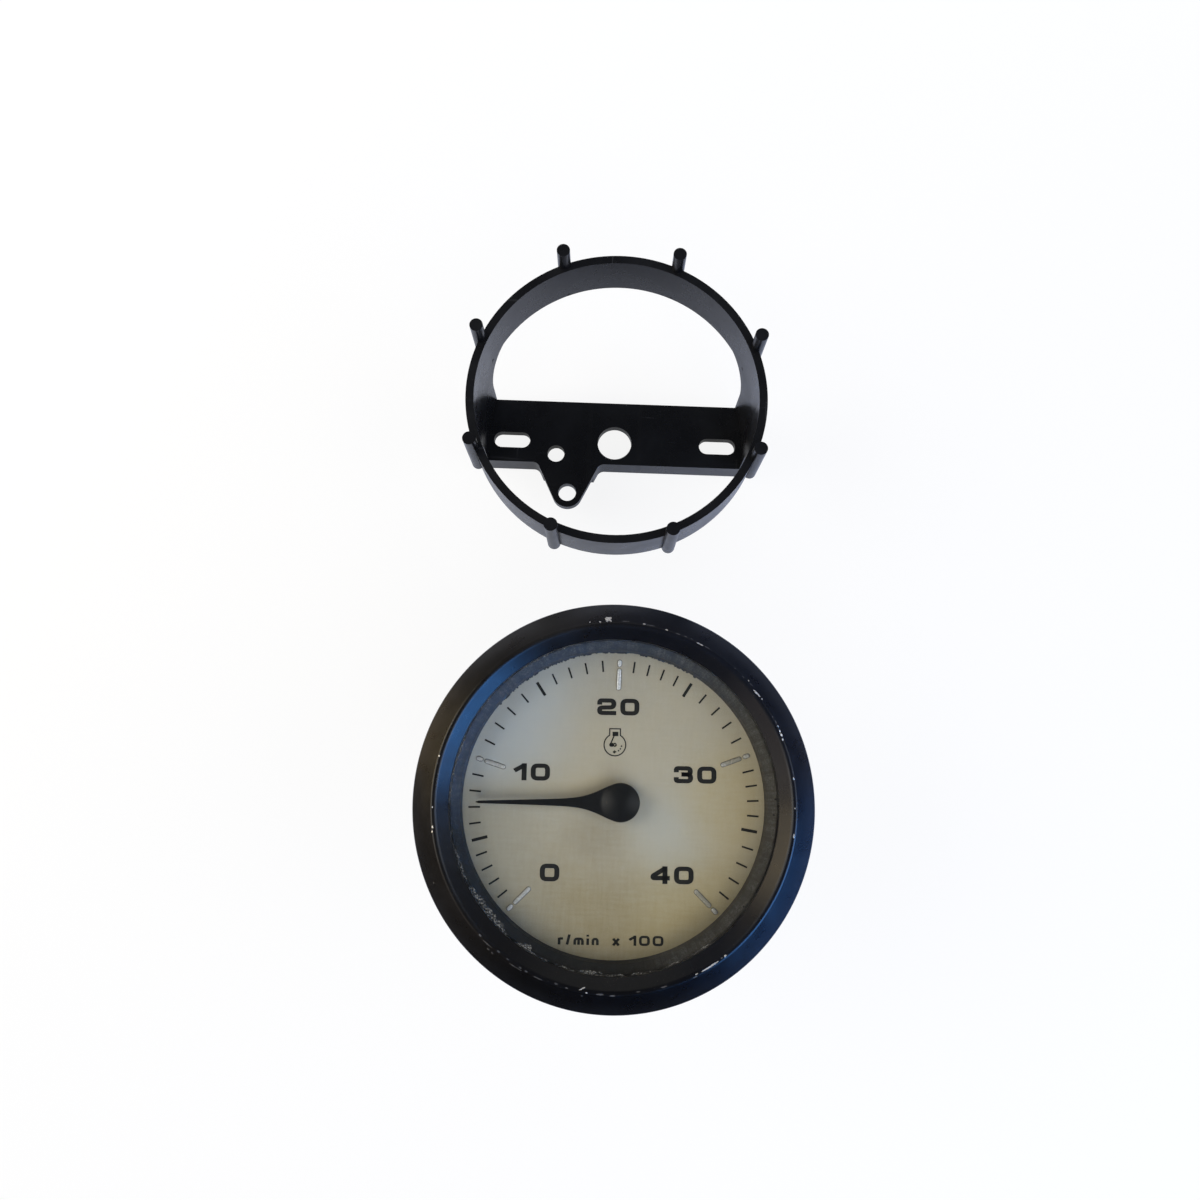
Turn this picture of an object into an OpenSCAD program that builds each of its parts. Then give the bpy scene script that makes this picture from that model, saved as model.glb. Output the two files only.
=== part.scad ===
// Four inch marine tachometer with its snap-over mounting bracket lying beside it.
// The gauge stands dial up on its studs. The bracket stands behind it on its bar, pegs up.
// Lengths are in millimetres, +Z is up, and z = 0 is the surface that both stand on.

/* [Layout] */
// Distance from the gauge axis to the bracket axis, along Y
pair_pitch = 116.5; // [112:0.5:150]
// Sideways offset of the bracket from the gauge axis
pair_shift = -2.9; // [-6:0.1:6]
// Length of the studs behind the case
stud_free = 17.2; // [14:0.1:24]

/* [Case] */
// Outer diameter of the case, which passes through the panel hole
case_d = 83.2; // [81:0.1:83.4]
// Wall of the case
case_wall = 1.6; // [1.2:0.1:1.7]
// Thickness of the case back
back_t = 2.5; // [2:0.1:3.5]
// Radius round the back edge of the case
case_round = 2.5; // [1:0.1:2.6]
// Thickness of the flange round the mouth of the case
flange_t = 1.4; // [1:0.1:2]
// Depth of the groove under the flange
groove_t = 0.5; // [0.4:0.1:0.8]
// Distance from the groove's back edge to the panel gasket
groove_lead = 1; // [0.5:0.1:2]
// Gap between pieces that slip into each other by hand
slip = 0.2; // [0.1:0.05:0.3]

/* [Bezel] */
// Reach of the bezel beyond the side of the case
bezel_over = 9.2; // [8.5:0.1:10.5]
// Sheet thickness of the bezel
bezel_t = 0.8; // [0.5:0.1:1]
// Height of the bezel lip above the panel seat
bezel_h = 9.1; // [8.8:0.1:12]
// Height of the upright skirt at the bezel edge
skirt_h = 2.4; // [1.5:0.1:3]
// Distance from the edge of the bezel in to the lip that stands highest
lip_in = 6.7; // [6.2:0.1:7]
// Width of the flat on top of the lip
lip_w = 0.7; // [0.4:0.1:1]
// Width of the slope from the lip down to the window
slope_w = 3; // [2.8:0.1:3.4]
// Thickness of the panel gasket
gasket_t = 1.2; // [0.8:0.1:2]
// Width of the panel gasket
gasket_w = 6; // [4:0.5:6.5]

/* [Lens and dial] */
// Thickness of the lens
lens_t = 2; // [1.5:0.1:2.4]
// Width of the lens rim held under the bezel
lens_lap = 3.1; // [2.8:0.1:3.3]
// Thickness of the lens gasket
seal_t = 0.7; // [0.5:0.1:1]
// Depth of the dial face below the panel seat
dial_drop = 3; // [2.5:0.1:5]
// Thickness of the dial sheet
dial_t = 0.8; // [0.5:0.1:1.2]
// Distance of the mask ring's lower edge inside the case bore
show_in = 1.1; // [1:0.1:2]
// Wall of the mask ring
mask_t = 0.5; // [0.4:0.1:0.6]
// Distance of the raised marks inside the mask ring
mark_in = 3.7; // [3.2:0.1:5]
// Length of a raised mark
mark_len = 5.4; // [4:0.1:7]
// Width of a raised mark
mark_w = 1.1; // [0.8:0.1:1.6]
// Height of a raised mark
mark_h = 0.5; // [0.3:0.1:0.8]
// Turn of the dial on its studs, anticlockwise
dial_turn = 1.3; // [0:0.1:2]
// Gap from a raised mark to its dot
mark_gap = 1; // [0.4:0.1:1.2]

/* [Pointer] */
// Distance of the pointer tip inside the outer end of the raised marks
tip_short = 0.1; // [0:0.1:4]
// Diameter of the pointer bulb
bulb_d = 9.9; // [8:0.1:11]
// Offset of the bulb centre behind the spindle
bulb_back = 1.8; // [0:0.1:2]
// Angle of the pointer at rest, clockwise from the left
pointer_rest = -1.8; // [-46:0.1:46]
// Half width of the pointer at its tip
tip_w = 0.3; // [0.2:0.05:0.5]
// Growth of half width for each millimetre towards the bulb
blade_taper = 0.028; // [0.02:0.002:0.04]
// Length over which the blade flares into the bulb
flare_len = 6.8; // [5:0.1:8]
// Thickness of the pointer blade
blade_t = 1.2; // [0.8:0.1:1.6]
// Rise of the dome on the bulb above the blade
dome_h = 1.5; // [1:0.1:2]
// Height of the blade above the dial
blade_lift = 2.2; // [1.6:0.1:2.6]
// Diameter of the spindle
spindle_d = 1.5; // [1.2:0.1:2]
// Diameter of the brass bush in the pointer
bush_d = 3.4; // [3:0.1:4]
// Radial running clearance of turning pieces
run_gap = 0.05; // [0.02:0.01:0.08]

/* [Movement] */
// Diameter of the coil former
former_d = 18; // [17:0.5:19]
// Height of the coil former between its windings
former_h = 9; // [8.6:0.2:10]
// Thickness of a winding
wind_t = 1.5; // [1:0.1:1.8]
// Width of a winding
wind_w = 7; // [6:0.5:7.5]
// Diameter of the rotor magnet
magnet_d = 12.6; // [11:0.2:13]
// Height of the rotor magnet
magnet_h = 3.4; // [3:0.2:3.6]
// Wall of the steel can round the movement
can_t = 0.7; // [0.5:0.1:1]
// Inner diameter of the steel can
can_d = 26; // [25.6:0.2:28]
// Room between the steel can and the top of the light box
can_room = 2.9; // [2.6:0.1:6]

/* [Circuit board] */
// Height of the board above the case floor
board_lift = 22; // [21:0.5:24]
// Thickness of the board
board_t = 1.6; // [1:0.1:2]
// Distance of the board screws inside the side of the case
screw_in = 8.6; // [8.2:0.1:9.6]
// Diameter of a board screw
screw_d = 2.4; // [2:0.1:2.8]
// Diameter of a board screw head
screw_head_d = 5.2; // [4.5:0.1:5.6]
// Length of a board screw below the board
screw_len = 8; // [6:0.5:9.5]
// Height of a board screw head
screw_head_t = 2; // [1.6:0.1:2.4]
// Thickness of the light box walls
box_t = 1.5; // [1:0.1:2]
// Length of the driver chip
chip_len = 19; // [18.6:0.1:21]
// Width of the driver chip
chip_w = 6.4; // [6:0.1:7]
// Thickness of the driver chip
chip_t = 3.2; // [2.6:0.1:4]
// Distance between the legs of the driver chip
leg_pitch = 2.54; // [2.5:0.01:2.6]
// Distance of the driver chip from the case centre, along X
chip_x = 22; // [21:0.1:24]
// Distance of the driver chip from the case centre, along Y
chip_y = 4; // [3:0.1:5]
// Radius of the large capacitor
cap_r = 4; // [3:0.1:4.4]
// Height of the large capacitor
cap_h = 11; // [8:0.5:14]
// Size of the small capacitor compared with the large one
cap_small = 0.8; // [0.6:0.05:1]
// Distance of the capacitors from the case centre, along X
cap_x = 21; // [20:0.1:22]
// Distance of the capacitors from the case centre, along Y
cap_y = 12; // [11.6:0.1:13]
// Radius of a resistor
res_r = 1.2; // [0.8:0.1:1.4]
// Length of a resistor
res_len = 6.6; // [6:0.1:7]
// Distance between two resistors
res_pitch = 3.2; // [3:0.1:3.4]
// Distance of the outer resistor inside the edge of the board
res_in = 5.3; // [5:0.1:5.6]

/* [Back of the gauge] */
// Distance of a mounting stud inside the side of the case
stud_in = 7.2; // [7:0.1:9]
// Diameter of a mounting stud
stud_d = 4.82; // [4.5:0.01:5]
// Diameter taken off a stud where its nut's thread holds it
thread_cut = 0.6; // [0.5:0.1:0.8]
// Gap round a stud in the holes that it passes through
hole_gap = 0.25; // [0.2:0.05:0.4]
// Width across flats of a mounting nut
nut_af = 9.5; // [9:0.1:10]
// Thickness of a mounting nut
nut_t = 3.2; // [2.8:0.1:3.6]
// Thickness of a lock washer
washer_t = 1; // [0.8:0.1:1.4]
// Diameter of a terminal stud
term_d = 4.16; // [4:0.01:4.4]
// Thickness of a terminal insulator
ins_t = 1.6; // [1.2:0.1:2]
// Width across flats of a terminal nut
term_af = 8.7; // [8:0.1:9]
// Thickness of a terminal nut
term_nut_t = 3; // [2.5:0.1:3.4]
// Distance of the side terminals inside the side of the case
term_in = 18.34; // [17.6:0.01:19]
// Angle of the side terminals below the middle of the case
term_angle = 49.2; // [47:0.1:51]
// Distance of the lowest terminal inside the side of the case
term_low_in = 14.6; // [13.6:0.1:16]
// Diameter of the selector shaft
selector_d = 6; // [5:0.1:6.4]
// Diameter of the selector knob
knob_d = 9.2; // [8:0.1:10]
// Distance of the lamp inside the side of the case
lamp_in = 15.6; // [14.8:0.1:16]
// Diameter of the lamp socket neck
neck_d = 13.6; // [13:0.1:14]
// Diameter of the bulb glass
glass_d = 10; // [9:0.1:10.4]
// Distance of the trimmer from the case centre, along X
trim_x = 19.5; // [19:0.1:20]
// Distance of the trimmer from the case centre, along Y
trim_y = 4.3; // [4:0.1:5]

/* [Bracket] */
// Gap between the case and the bracket ring that slides over it
ring_gap = 0.4; // [0.3:0.05:0.9]
// Wall of the bracket ring
ring_wall = 2.4; // [2:0.1:3]
// Height of the ring band
ring_h = 15.3; // [12:0.1:18]
// Height of the front of the ring above the front of the bar
ring_rise = 42.4; // [38:0.1:46]
// Diameter of a peg
peg_d = 3.9; // [3:0.1:4.4]
// Distance of the peg centres outside the ring's inner face
peg_out = 2.8; // [2.4:0.1:3.2]
// Height of the peg tips above the front of the ring
peg_rise = 7.6; // [4:0.1:10]
// Height of the bar from its back edge to its front face
bar_h = 8.4; // [7:0.1:10]
// Thickness of the bar's front web and of the ear
web_t = 3; // [2:0.1:3.6]
// Thickness of the walls and ribs behind the web
rib_t = 1.8; // [1.4:0.1:2.4]
// Upper edge of the bar from the ring centre
bar_top = 14; // [13:0.1:16]
// Lower edge of the bar from the ring centre
bar_low = 7.5; // [7:0.1:8.5]
// Distance of the ribs from the centre
rib_x = 8.4; // [8:0.1:12]
// Step from the ring's inner face back to the legs' inner face
leg_relief = 0.6; // [0.5:0.1:1]
// Radius where a leg flares into the ring
leg_fillet = 16; // [12:0.5:17]
// Radius in the corners where the ear leaves the bar
ear_fillet = 2.5; // [1:0.5:3]
// Distance of the wall behind the ear from the ring centre
ear_wall_y = 11.4; // [11:0.1:12.2]
// End to end length of a slot
slot_len = 12.1; // [10:0.1:13]
// Width of a slot
slot_w = 5.3; // [5.1:0.1:6]
// Diameter of the centre hole
centre_hole_d = 11.3; // [10.5:0.1:12]
// Diameter of the small hole over the trimmer
small_hole_d = 5.7; // [5:0.1:6]
// Diameter of the hole in the ear
ear_hole_d = 5.9; // [5:0.1:6.4]
// Radius of the end of the ear
ear_r = 5; // [4.6:0.1:6]
// Width of the ear where it meets the bar
ear_w = 19.8; // [16:0.1:21]

/* [Hidden] */
$fn = 64;
eps = 0.01;

// Radii and distances that follow the case
case_r = case_d / 2;
bore_r = case_r - case_wall;
bezel_r = case_r + bezel_over;
lip_r = bezel_r - lip_in;
win_r = lip_r - slope_w;
lens_r = win_r + lens_lap;
show_r = bore_r - show_in;
mark_r = show_r - mark_in;
pointer_len = mark_r - tip_short + bulb_back;
upstand_t = 1.4;
board_r = bore_r - slip;
screw_r = case_r - screw_in;
stud_x = case_r - stud_in;
lamp_y = case_r - lamp_in;
term_x = (case_r - term_in) * cos(term_angle);
term_y = (case_r - term_in) * sin(term_angle);
term_low_y = case_r - term_low_in;
ring_ir = case_r + ring_gap;
ring_or = ring_ir + ring_wall;
peg_r = ring_ir + peg_out;

// Plan positions
bracket_reach = max(ring_or, peg_r * cos(22.5) + peg_d / 2);
pair_len = bezel_r + pair_pitch + bracket_reach;
gauge_y = bezel_r - pair_len / 2;
bracket_y = gauge_y + pair_pitch;

// Heights of the back of the gauge, from the surface up
back_z = stud_free;
floor_z = back_z + back_t;
board_z = floor_z + board_lift;
board_top = board_z + board_t;

// Movement heights
can_z = board_top;
base_z = can_z + can_t;
base_t = 1;
coil_z = base_z + base_t;
former_z = coil_z + 2 * wind_t;
former_top = former_z + former_h;
split_z = former_z + former_h / 2;
coil_top = former_top + 2 * wind_t;
neck_top = coil_top + 2;
magnet_room = 0.5;
thrust_gap = 0.15;
pivot_t = 0.6;
can_top = coil_top + 1;

// Heights of the front of the gauge
box_top = can_top + can_room + box_t;
dial_z = box_top + dial_t;
seat_z = dial_z + dial_drop;
funnel_z = seat_z + 0.5;
groove_z = seat_z - gasket_t - groove_lead;
flange_z = seat_z + bezel_t;
mouth_z = flange_z + flange_t;
seal_z = mouth_z + mask_t;
lens_z = seal_z + seal_t;
lens_top = lens_z + lens_t;
lip_z = seat_z + bezel_h;
blade_z = dial_z + blade_lift;
bush_z = blade_z - 0.6;
dome_top = blade_z + blade_t + dome_h;
spindle_top = blade_z + blade_t + dome_h / 2;

// Back of the gauge
terminals = [[-term_x, -term_y], [0, -term_low_y], [term_x, -term_y]];
head_t = 2.5;
nut_gap = 0.05;
strap_w = 5;
strap_t = 0.8;
switch_r = 8;
switch_h = 11;
trim_w = 9.5;
trim_h = 5;
rotor_d = 4.8;
rotor_out = 1.1;
socket_flange_d = 17.4;
socket_flange_t = 2;
blade_len = 5;
bulb_base_h = 4;
lug_w = 3;
lug_t = 1.8;
lug_reach = 1.6;
bulb_hole_d = glass_d + 3;

// Bracket heights
rim_z = bar_h + ring_rise;
ring_z = rim_z - ring_h;
peg_z = rim_z + peg_rise;
slot_r = slot_w / 2;

// Places a gauge piece on the gauge axis
module on_gauge(x = 0, y = 0, z = 0) {
    translate([x, gauge_y + y, z]) children();
}

// Ring between two radii
module band(r_in, r_out, h) {
    difference() {
        cylinder(r = r_out, h = h, $fn = 128);
        translate([0, 0, -1]) cylinder(r = r_in, h = h + 2, $fn = 128);
    }
}

// Closed ring turned from a profile of radius and height
module turned(profile) {
    rotate_extrude($fn = 128) polygon(profile);
}

// Points of an arc in a profile
function arc(cx, cy, r, a0, a1, n = 8) =
    [for (i = [0:n]) [cx + r * cos(a0 + (a1 - a0) * i / n), cy + r * sin(a0 + (a1 - a0) * i / n)]];

// Hexagonal nut with a clear hole and chamfered corners
module nut(af, h, hole_d) {
    difference() {
        intersection() {
            cylinder(d = af / cos(30), h = h, $fn = 6);
            cylinder(d1 = af * 1.3, d2 = af * 0.98, h = h, $fn = 48);
        }
        translate([0, 0, -1]) cylinder(d = hole_d, h = h + 2);
    }
}

// Cup that holds everything, with its flange, bosses and openings
module case() {
    color("#1b1b1d") on_gauge() difference() {
        union() {
            turned(concat(
                [[0, back_z], [case_r - case_round, back_z]],
                arc(case_r - case_round, back_z + case_round, case_round, -90, 0),
                [[case_r, groove_z], [case_r - groove_t, groove_z + groove_t],
                 [case_r - groove_t, flange_z], [bezel_r - bezel_t - slip, flange_z],
                 [bezel_r - bezel_t - slip, mouth_z], [lens_r + slip + upstand_t, mouth_z],
                 [lens_r + slip + upstand_t, lens_top], [lens_r + slip, lens_top],
                 [lens_r + slip, mouth_z], [win_r + mask_t, mouth_z],
                 [bore_r, funnel_z - slip], [bore_r, floor_z], [0, floor_z]]));
            for (a = [45:90:315]) rotate(a) translate([screw_r, 0, floor_z - eps])
                cylinder(d = screw_head_d + 1.2, h = board_lift + eps);
        }
        for (a = [45:90:315]) rotate(a) translate([screw_r, 0, board_z - screw_len - 2])
            cylinder(d = screw_d + 0.1, h = screw_len + 3);
        for (s = [-1, 1]) translate([s * stud_x, 0, back_z - 1])
            cylinder(d = stud_d + 2 * hole_gap, h = back_t + 2);
        for (t = terminals) translate([t[0], t[1], back_z - 1])
            cylinder(d = term_d + 2 * hole_gap, h = back_t + 2);
        translate([0, 0, back_z - 1]) cylinder(d = selector_d + 1, h = back_t + 2);
        translate([-trim_x, -trim_y, back_z - 1]) cylinder(d = rotor_d, h = back_t + 2);
        translate([0, lamp_y, back_z - 1]) {
            cylinder(d = neck_d + 2 * slip, h = back_t + 2);
            translate([-neck_d / 2 - lug_reach - slip, -lug_w / 2 - slip, 0])
                cube([neck_d + 2 * lug_reach + 2 * slip, lug_w + 2 * slip, back_t + 2]);
        }
    }
}

// Spun sheet bezel, rolled under the case flange and sloped down to the lens
module bezel() {
    top_r = lip_r + lip_w;
    lens_lip = lens_top + bezel_t;
    color("#141416") on_gauge() turned(concat(
        [[case_r + 1.2, seat_z]],
        arc(bezel_r - bezel_t, seat_z + bezel_t, bezel_t, -90, 0, 4),
        [[bezel_r, seat_z + skirt_h]],
        [[bezel_r - 0.6, seat_z + skirt_h + 1.1], [top_r + 0.35, lip_z - 0.45]],
        arc(top_r - 0.05, lip_z - 0.4, 0.4, 30, 90, 3),
        [[lip_r, lip_z], [lip_r - 0.15, lip_z - 0.3],
         [win_r, lens_lip], [win_r, lens_top], [win_r + 1.6, lens_top],
         [lip_r + 0.15, lip_z - 0.3 - bezel_t],
         [top_r - 0.5, lip_z - 0.3 - bezel_t], [bezel_r - bezel_t, seat_z + skirt_h + 0.3],
         [bezel_r - bezel_t, flange_z], [case_r + 1.2, flange_z]]));
}

// Clear lens clamped between the bezel and its gasket
module lens() {
    color("#dfe8ea", 0.3) on_gauge(z = lens_z) cylinder(r = lens_r, h = lens_t, $fn = 128);
}

// Rubber gasket under the lens
module lens_gasket() {
    color("#262626") on_gauge(z = seal_z) band(win_r + mask_t, lens_r, seal_t);
}

// Foam gasket between the bezel and the panel
module panel_gasket() {
    color("#2b2b2c") on_gauge(z = seat_z - gasket_t)
        band(case_r + 0.6, case_r + 0.6 + gasket_w, gasket_t);
}

// Grey funnel from the lens down to the rim of the dial
module mask_ring() {
    color("#4b4c4d") on_gauge() turned([
        [show_r, dial_z], [show_r + 0.2, funnel_z], [win_r, seal_z],
        [lens_r, seal_z], [lens_r, mouth_z], [win_r + mask_t, mouth_z],
        [show_r + 0.2 + mask_t, funnel_z], [show_r + mask_t, dial_z]]);
}

// Printed dial sheet with the hole for the spindle
module dial() {
    color("#b9b29a") on_gauge(z = box_top) band(spindle_d / 2 + 1.2, bore_r - slip, dial_t);
}

// Raised bright marks and their dots at every tenth division
module index_marks() {
    sweep = [-45, 17.7, 91.7, 159.3, 225];
    color("#d9d9d6") on_gauge(z = dial_z) for (a = sweep) rotate(180 - a + dial_turn) {
        translate([mark_r - mark_len + mark_w / 2, 0, 0]) cylinder(d = mark_w, h = mark_h, $fn = 24);
        translate([mark_r - mark_w / 2, 0, 0]) cylinder(d = mark_w, h = mark_h, $fn = 24);
        translate([mark_r - mark_len + mark_w / 2, -mark_w / 2, 0])
            cube([mark_len - mark_w, mark_w, mark_h]);
        translate([mark_r + mark_gap + mark_w / 2, 0, 0]) cylinder(d = mark_w, h = mark_h, $fn = 24);
    }
}

// White box that carries the dial and spreads the lamp's light
module light_box() {
    color("#e8e6de") on_gauge() difference() {
        translate([0, 0, board_top]) cylinder(r = bore_r - slip, h = box_top - board_top, $fn = 128);
        translate([0, 0, board_top - 1])
            cylinder(r = bore_r - slip - box_t, h = box_top - board_top - box_t + 1, $fn = 128);
        translate([0, 0, box_top - box_t - 1]) cylinder(r = 6, h = box_t + 2);
    }
}

// Half width of the pointer at a distance from the bulb centre
function pointer_half(s) = tip_w + blade_taper * (pointer_len - s)
    + (bulb_d / 2 - tip_w - blade_taper * pointer_len) * exp(-pow(s / flare_len, 1.85));

// Teardrop pointer on its spindle, with a low dome on the bulb
module pointer() {
    steps = 22;
    side = [for (i = [0:steps]) let (s = pointer_len * pow(i / steps, 1.4)) [s, pointer_half(s)]];
    other = [for (i = [steps:-1:0]) [side[i][0], -side[i][1]]];
    color("#0d0d0f") on_gauge() difference() {
        rotate(180 - pointer_rest) translate([-bulb_back, 0, blade_z]) union() {
            linear_extrude(blade_t) {
                polygon(concat(side, other));
                circle(d = bulb_d);
            }
            translate([0, 0, blade_t]) intersection() {
                dome_r = (pow(bulb_d / 2, 2) + dome_h * dome_h) / (2 * dome_h);
                translate([0, 0, dome_h - dome_r]) sphere(r = dome_r, $fn = 96);
                translate([0, 0, -0.3]) cylinder(d = bulb_d, h = dome_h + 1);
            }
        }
        translate([0, 0, bush_z - 1]) cylinder(d = bush_d + 0.04, h = spindle_top - bush_z + 1.02);
    }
}

// Brass bush pressed into the bulb
module pointer_bush() {
    color("#b08d3f") on_gauge(z = bush_z) difference() {
        cylinder(d = bush_d, h = spindle_top - bush_z, $fn = 48);
        translate([0, 0, -1]) cylinder(d = spindle_d + 0.04, h = spindle_top - bush_z + 2, $fn = 48);
    }
}

// Steel spindle from the pivot in the lower former to the pointer
module pointer_spindle() {
    color("#b8bcc0") on_gauge(z = former_z + pivot_t + thrust_gap)
        cylinder(d = spindle_d, h = spindle_top - former_z - pivot_t - thrust_gap, $fn = 48);
}

// Disc magnet on the spindle
module rotor_magnet() {
    color("#55585c") on_gauge(z = split_z - magnet_h / 2) difference() {
        cylinder(d = magnet_d, h = magnet_h);
        translate([0, 0, -1]) cylinder(d = spindle_d + 0.04, h = magnet_h + 2, $fn = 48);
    }
}

// One half of the coil former's drum, with the room for the magnet
module former_half(z0, z1) {
    difference() {
        translate([0, 0, z0]) cylinder(d = former_d, h = z1 - z0);
        translate([0, 0, split_z - magnet_h / 2 - magnet_room])
            cylinder(d = magnet_d + 2 * magnet_room, h = magnet_h + 2 * magnet_room);
        translate([0, 0, former_z + pivot_t])
            cylinder(d = spindle_d + 2 * run_gap, h = former_h, $fn = 48);
    }
}

// Lower half of the former on its base, with posts between the windings
module former_lower() {
    post = former_d * 0.36;
    color("#22252a") on_gauge() union() {
        former_half(former_z, split_z);
        translate([0, 0, base_z]) cylinder(d = can_d - 2 * slip, h = base_t);
        for (x = [-post, post], y = [-post, post]) translate([x, y, base_z])
            cylinder(d = 2.8, h = former_z - base_z + 0.5);
    }
}

// Upper half of the former with the long neck that guides the spindle
module former_upper() {
    color("#22252a") on_gauge() union() {
        former_half(split_z, former_top);
        difference() {
            translate([0, 0, former_top - 1]) cylinder(d = 4.8, h = neck_top - former_top + 1);
            translate([0, 0, split_z])
                cylinder(d = spindle_d + 2 * run_gap, h = neck_top, $fn = 48);
        }
    }
}

// Flat winding in the XZ plane round the former, z0 to z1 outside
module winding(z0, z1) {
    half = former_d / 2 + nut_gap;
    difference() {
        translate([-half - wind_t, -wind_w / 2, z0]) cube([2 * (half + wind_t), wind_w, z1 - z0]);
        translate([-half, -wind_w, z0 + wind_t]) cube([2 * half, 2 * wind_w, z1 - z0 - 2 * wind_t]);
        translate([0, 0, split_z]) cylinder(d = 5.2, h = z1);
    }
}

// Inner winding
module coil_sine() {
    color("#a5552a") on_gauge() winding(coil_z + wind_t, coil_top - wind_t);
}

// Outer winding, square to the inner one
module coil_cosine() {
    color("#a5552a") on_gauge() rotate(90) winding(coil_z, coil_top);
}

// Steel can that shields the movement
module shield_can() {
    color("#8d9196") on_gauge(z = can_z) difference() {
        cylinder(d = can_d + 2 * can_t, h = can_top - can_z);
        translate([0, 0, can_t]) cylinder(d = can_d, h = can_top - can_z);
    }
}

// Round circuit board with a hole for the bulb and for the screws
module circuit_board() {
    color("#2c6b3c") on_gauge(z = board_z) difference() {
        cylinder(r = board_r, h = board_t, $fn = 128);
        for (a = [45:90:315]) rotate(a) translate([screw_r, 0, -1])
            cylinder(d = screw_d + 0.6, h = board_t + 2);
        translate([0, lamp_y, -1]) cylinder(d = bulb_hole_d, h = board_t + 2);
    }
}

// Pan head screws that hold the board to its bosses
module board_screws() {
    color("#c4c7ca") on_gauge() for (a = [45:90:315]) rotate(a) translate([screw_r, 0, 0]) difference() {
        union() {
            translate([0, 0, board_z - screw_len]) cylinder(d = screw_d, h = screw_len + board_t + eps, $fn = 32);
            translate([0, 0, board_top]) cylinder(d1 = screw_head_d, d2 = screw_head_d - 1.4, h = screw_head_t, $fn = 32);
        }
        translate([-screw_head_d, -0.35, board_top + screw_head_t * 0.55])
            cube([2 * screw_head_d, 0.7, screw_head_t]);
    }
}

// Driver chip with two rows of legs under the board
module driver_chip() {
    leg_w = leg_pitch * 0.2;
    leg_h = chip_t * 0.8;
    color("#1a1a1a") on_gauge(chip_x, -chip_y, board_z) union() {
        translate([-chip_w / 2, -chip_len / 2, -chip_t - leg_w]) cube([chip_w, chip_len, chip_t]);
        for (s = [-1, 1], i = [-3:3])
            translate([s * (chip_w / 2 + leg_w / 2) - leg_w, i * leg_pitch - leg_w / 2, -leg_h])
                cube([2 * leg_w, leg_w, leg_h]);
    }
}

// Two upright capacitors under the board
module capacitors() {
    color("#20304a") on_gauge(z = board_z) for (p = [[1, 1], [-1, cap_small]])
        translate([p[0] * cap_x, cap_y, -p[1] * cap_h]) scale(p[1]) union() {
            cylinder(r = cap_r * 0.92, h = cap_h * 0.05, $fn = 32);
            translate([0, 0, cap_h * 0.05]) cylinder(r = cap_r, h = cap_h * 0.95, $fn = 32);
        }
}

// Three resistors on bent leads under the board
module resistors() {
    lead = res_r / 2;
    drop = res_r * 1.6;
    reach = res_len / 2 + 1.1;
    color("#c8a878") on_gauge(z = board_z) for (i = [0:2])
        translate([res_in - board_r + res_pitch * i, 2, 0]) union() {
            translate([0, res_len / 2, lead / 2 - drop]) rotate([90, 0, 0])
                cylinder(r = res_r, h = res_len, $fn = 32);
            for (s = [-1, 1]) translate([-lead / 2, s * reach - lead / 2, -drop])
                cube([lead, lead, drop]);
            translate([-lead / 2, -reach, -drop]) cube([lead, 2 * reach, lead]);
        }
}

// Rotary switch body under the board
module selector_switch() {
    color("#26313a") on_gauge(z = board_z - switch_h) difference() {
        cylinder(r = switch_r, h = switch_h);
        translate([0, 0, -1]) cylinder(d = selector_d + 2 * run_gap, h = switch_h - 1);
    }
}

// Slotted selector shaft that comes out through the case back
module selector_shaft() {
    knob_z = back_z - 5.6;
    color("#dddcd4") on_gauge() difference() {
        union() {
            translate([0, 0, knob_z + 1]) cylinder(d = selector_d, h = board_z - 4 - knob_z - 1);
            translate([0, 0, knob_z]) cylinder(d = knob_d, h = 5);
        }
        translate([-knob_d, -0.6, knob_z - 1]) cube([2 * knob_d, 1.2, 2.5]);
    }
}

// Square trimmer body under the board
module trimmer_body() {
    color("#2d5f9a") on_gauge(-trim_x, -trim_y, board_z - trim_h) difference() {
        translate([-trim_w / 2, -trim_w / 2, 0]) cube([trim_w, trim_w, trim_h]);
        translate([0, 0, -1]) cylinder(d = rotor_d + 2 * run_gap, h = trim_h - 1);
    }
}

// Slotted trimmer rotor, reached through the small hole in the case back
module trimmer_rotor() {
    color("#e4e1d6") on_gauge(-trim_x, -trim_y, board_z - trim_h - rotor_out) difference() {
        cylinder(d = rotor_d, h = trim_h + rotor_out - 2.2);
        translate([-rotor_d, -0.4, -1]) cube([2 * rotor_d, 0.8, 1.9]);
    }
}

// Twist-in lamp socket with its flange, grip and bayonet lugs
module lamp_socket() {
    grip_z = blade_len - 0.6;
    lug_z = floor_z + slip;
    color("#1e1e20") on_gauge(0, lamp_y) difference() {
        union() {
            translate([0, 0, grip_z]) cylinder(d = neck_d - 1, h = back_z - socket_flange_t - grip_z + eps);
            translate([0, 0, back_z - socket_flange_t - 0.1]) cylinder(d = socket_flange_d, h = socket_flange_t);
            translate([0, 0, back_z - 0.2]) cylinder(d = neck_d, h = back_t + lug_t + 0.6);
            rotate(45) translate([-neck_d / 2 - lug_reach, -lug_w / 2, lug_z])
                cube([neck_d + 2 * lug_reach, lug_w, lug_t]);
            for (a = [0, 180]) rotate(a) translate([neck_d / 2 - 1, -1.2, grip_z])
                cube([2.2, 2.4, back_z - socket_flange_t - grip_z]);
        }
        translate([0, 0, floor_z - 1]) cylinder(d = glass_d + 2 * nut_gap, h = 10);
    }
}

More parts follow.
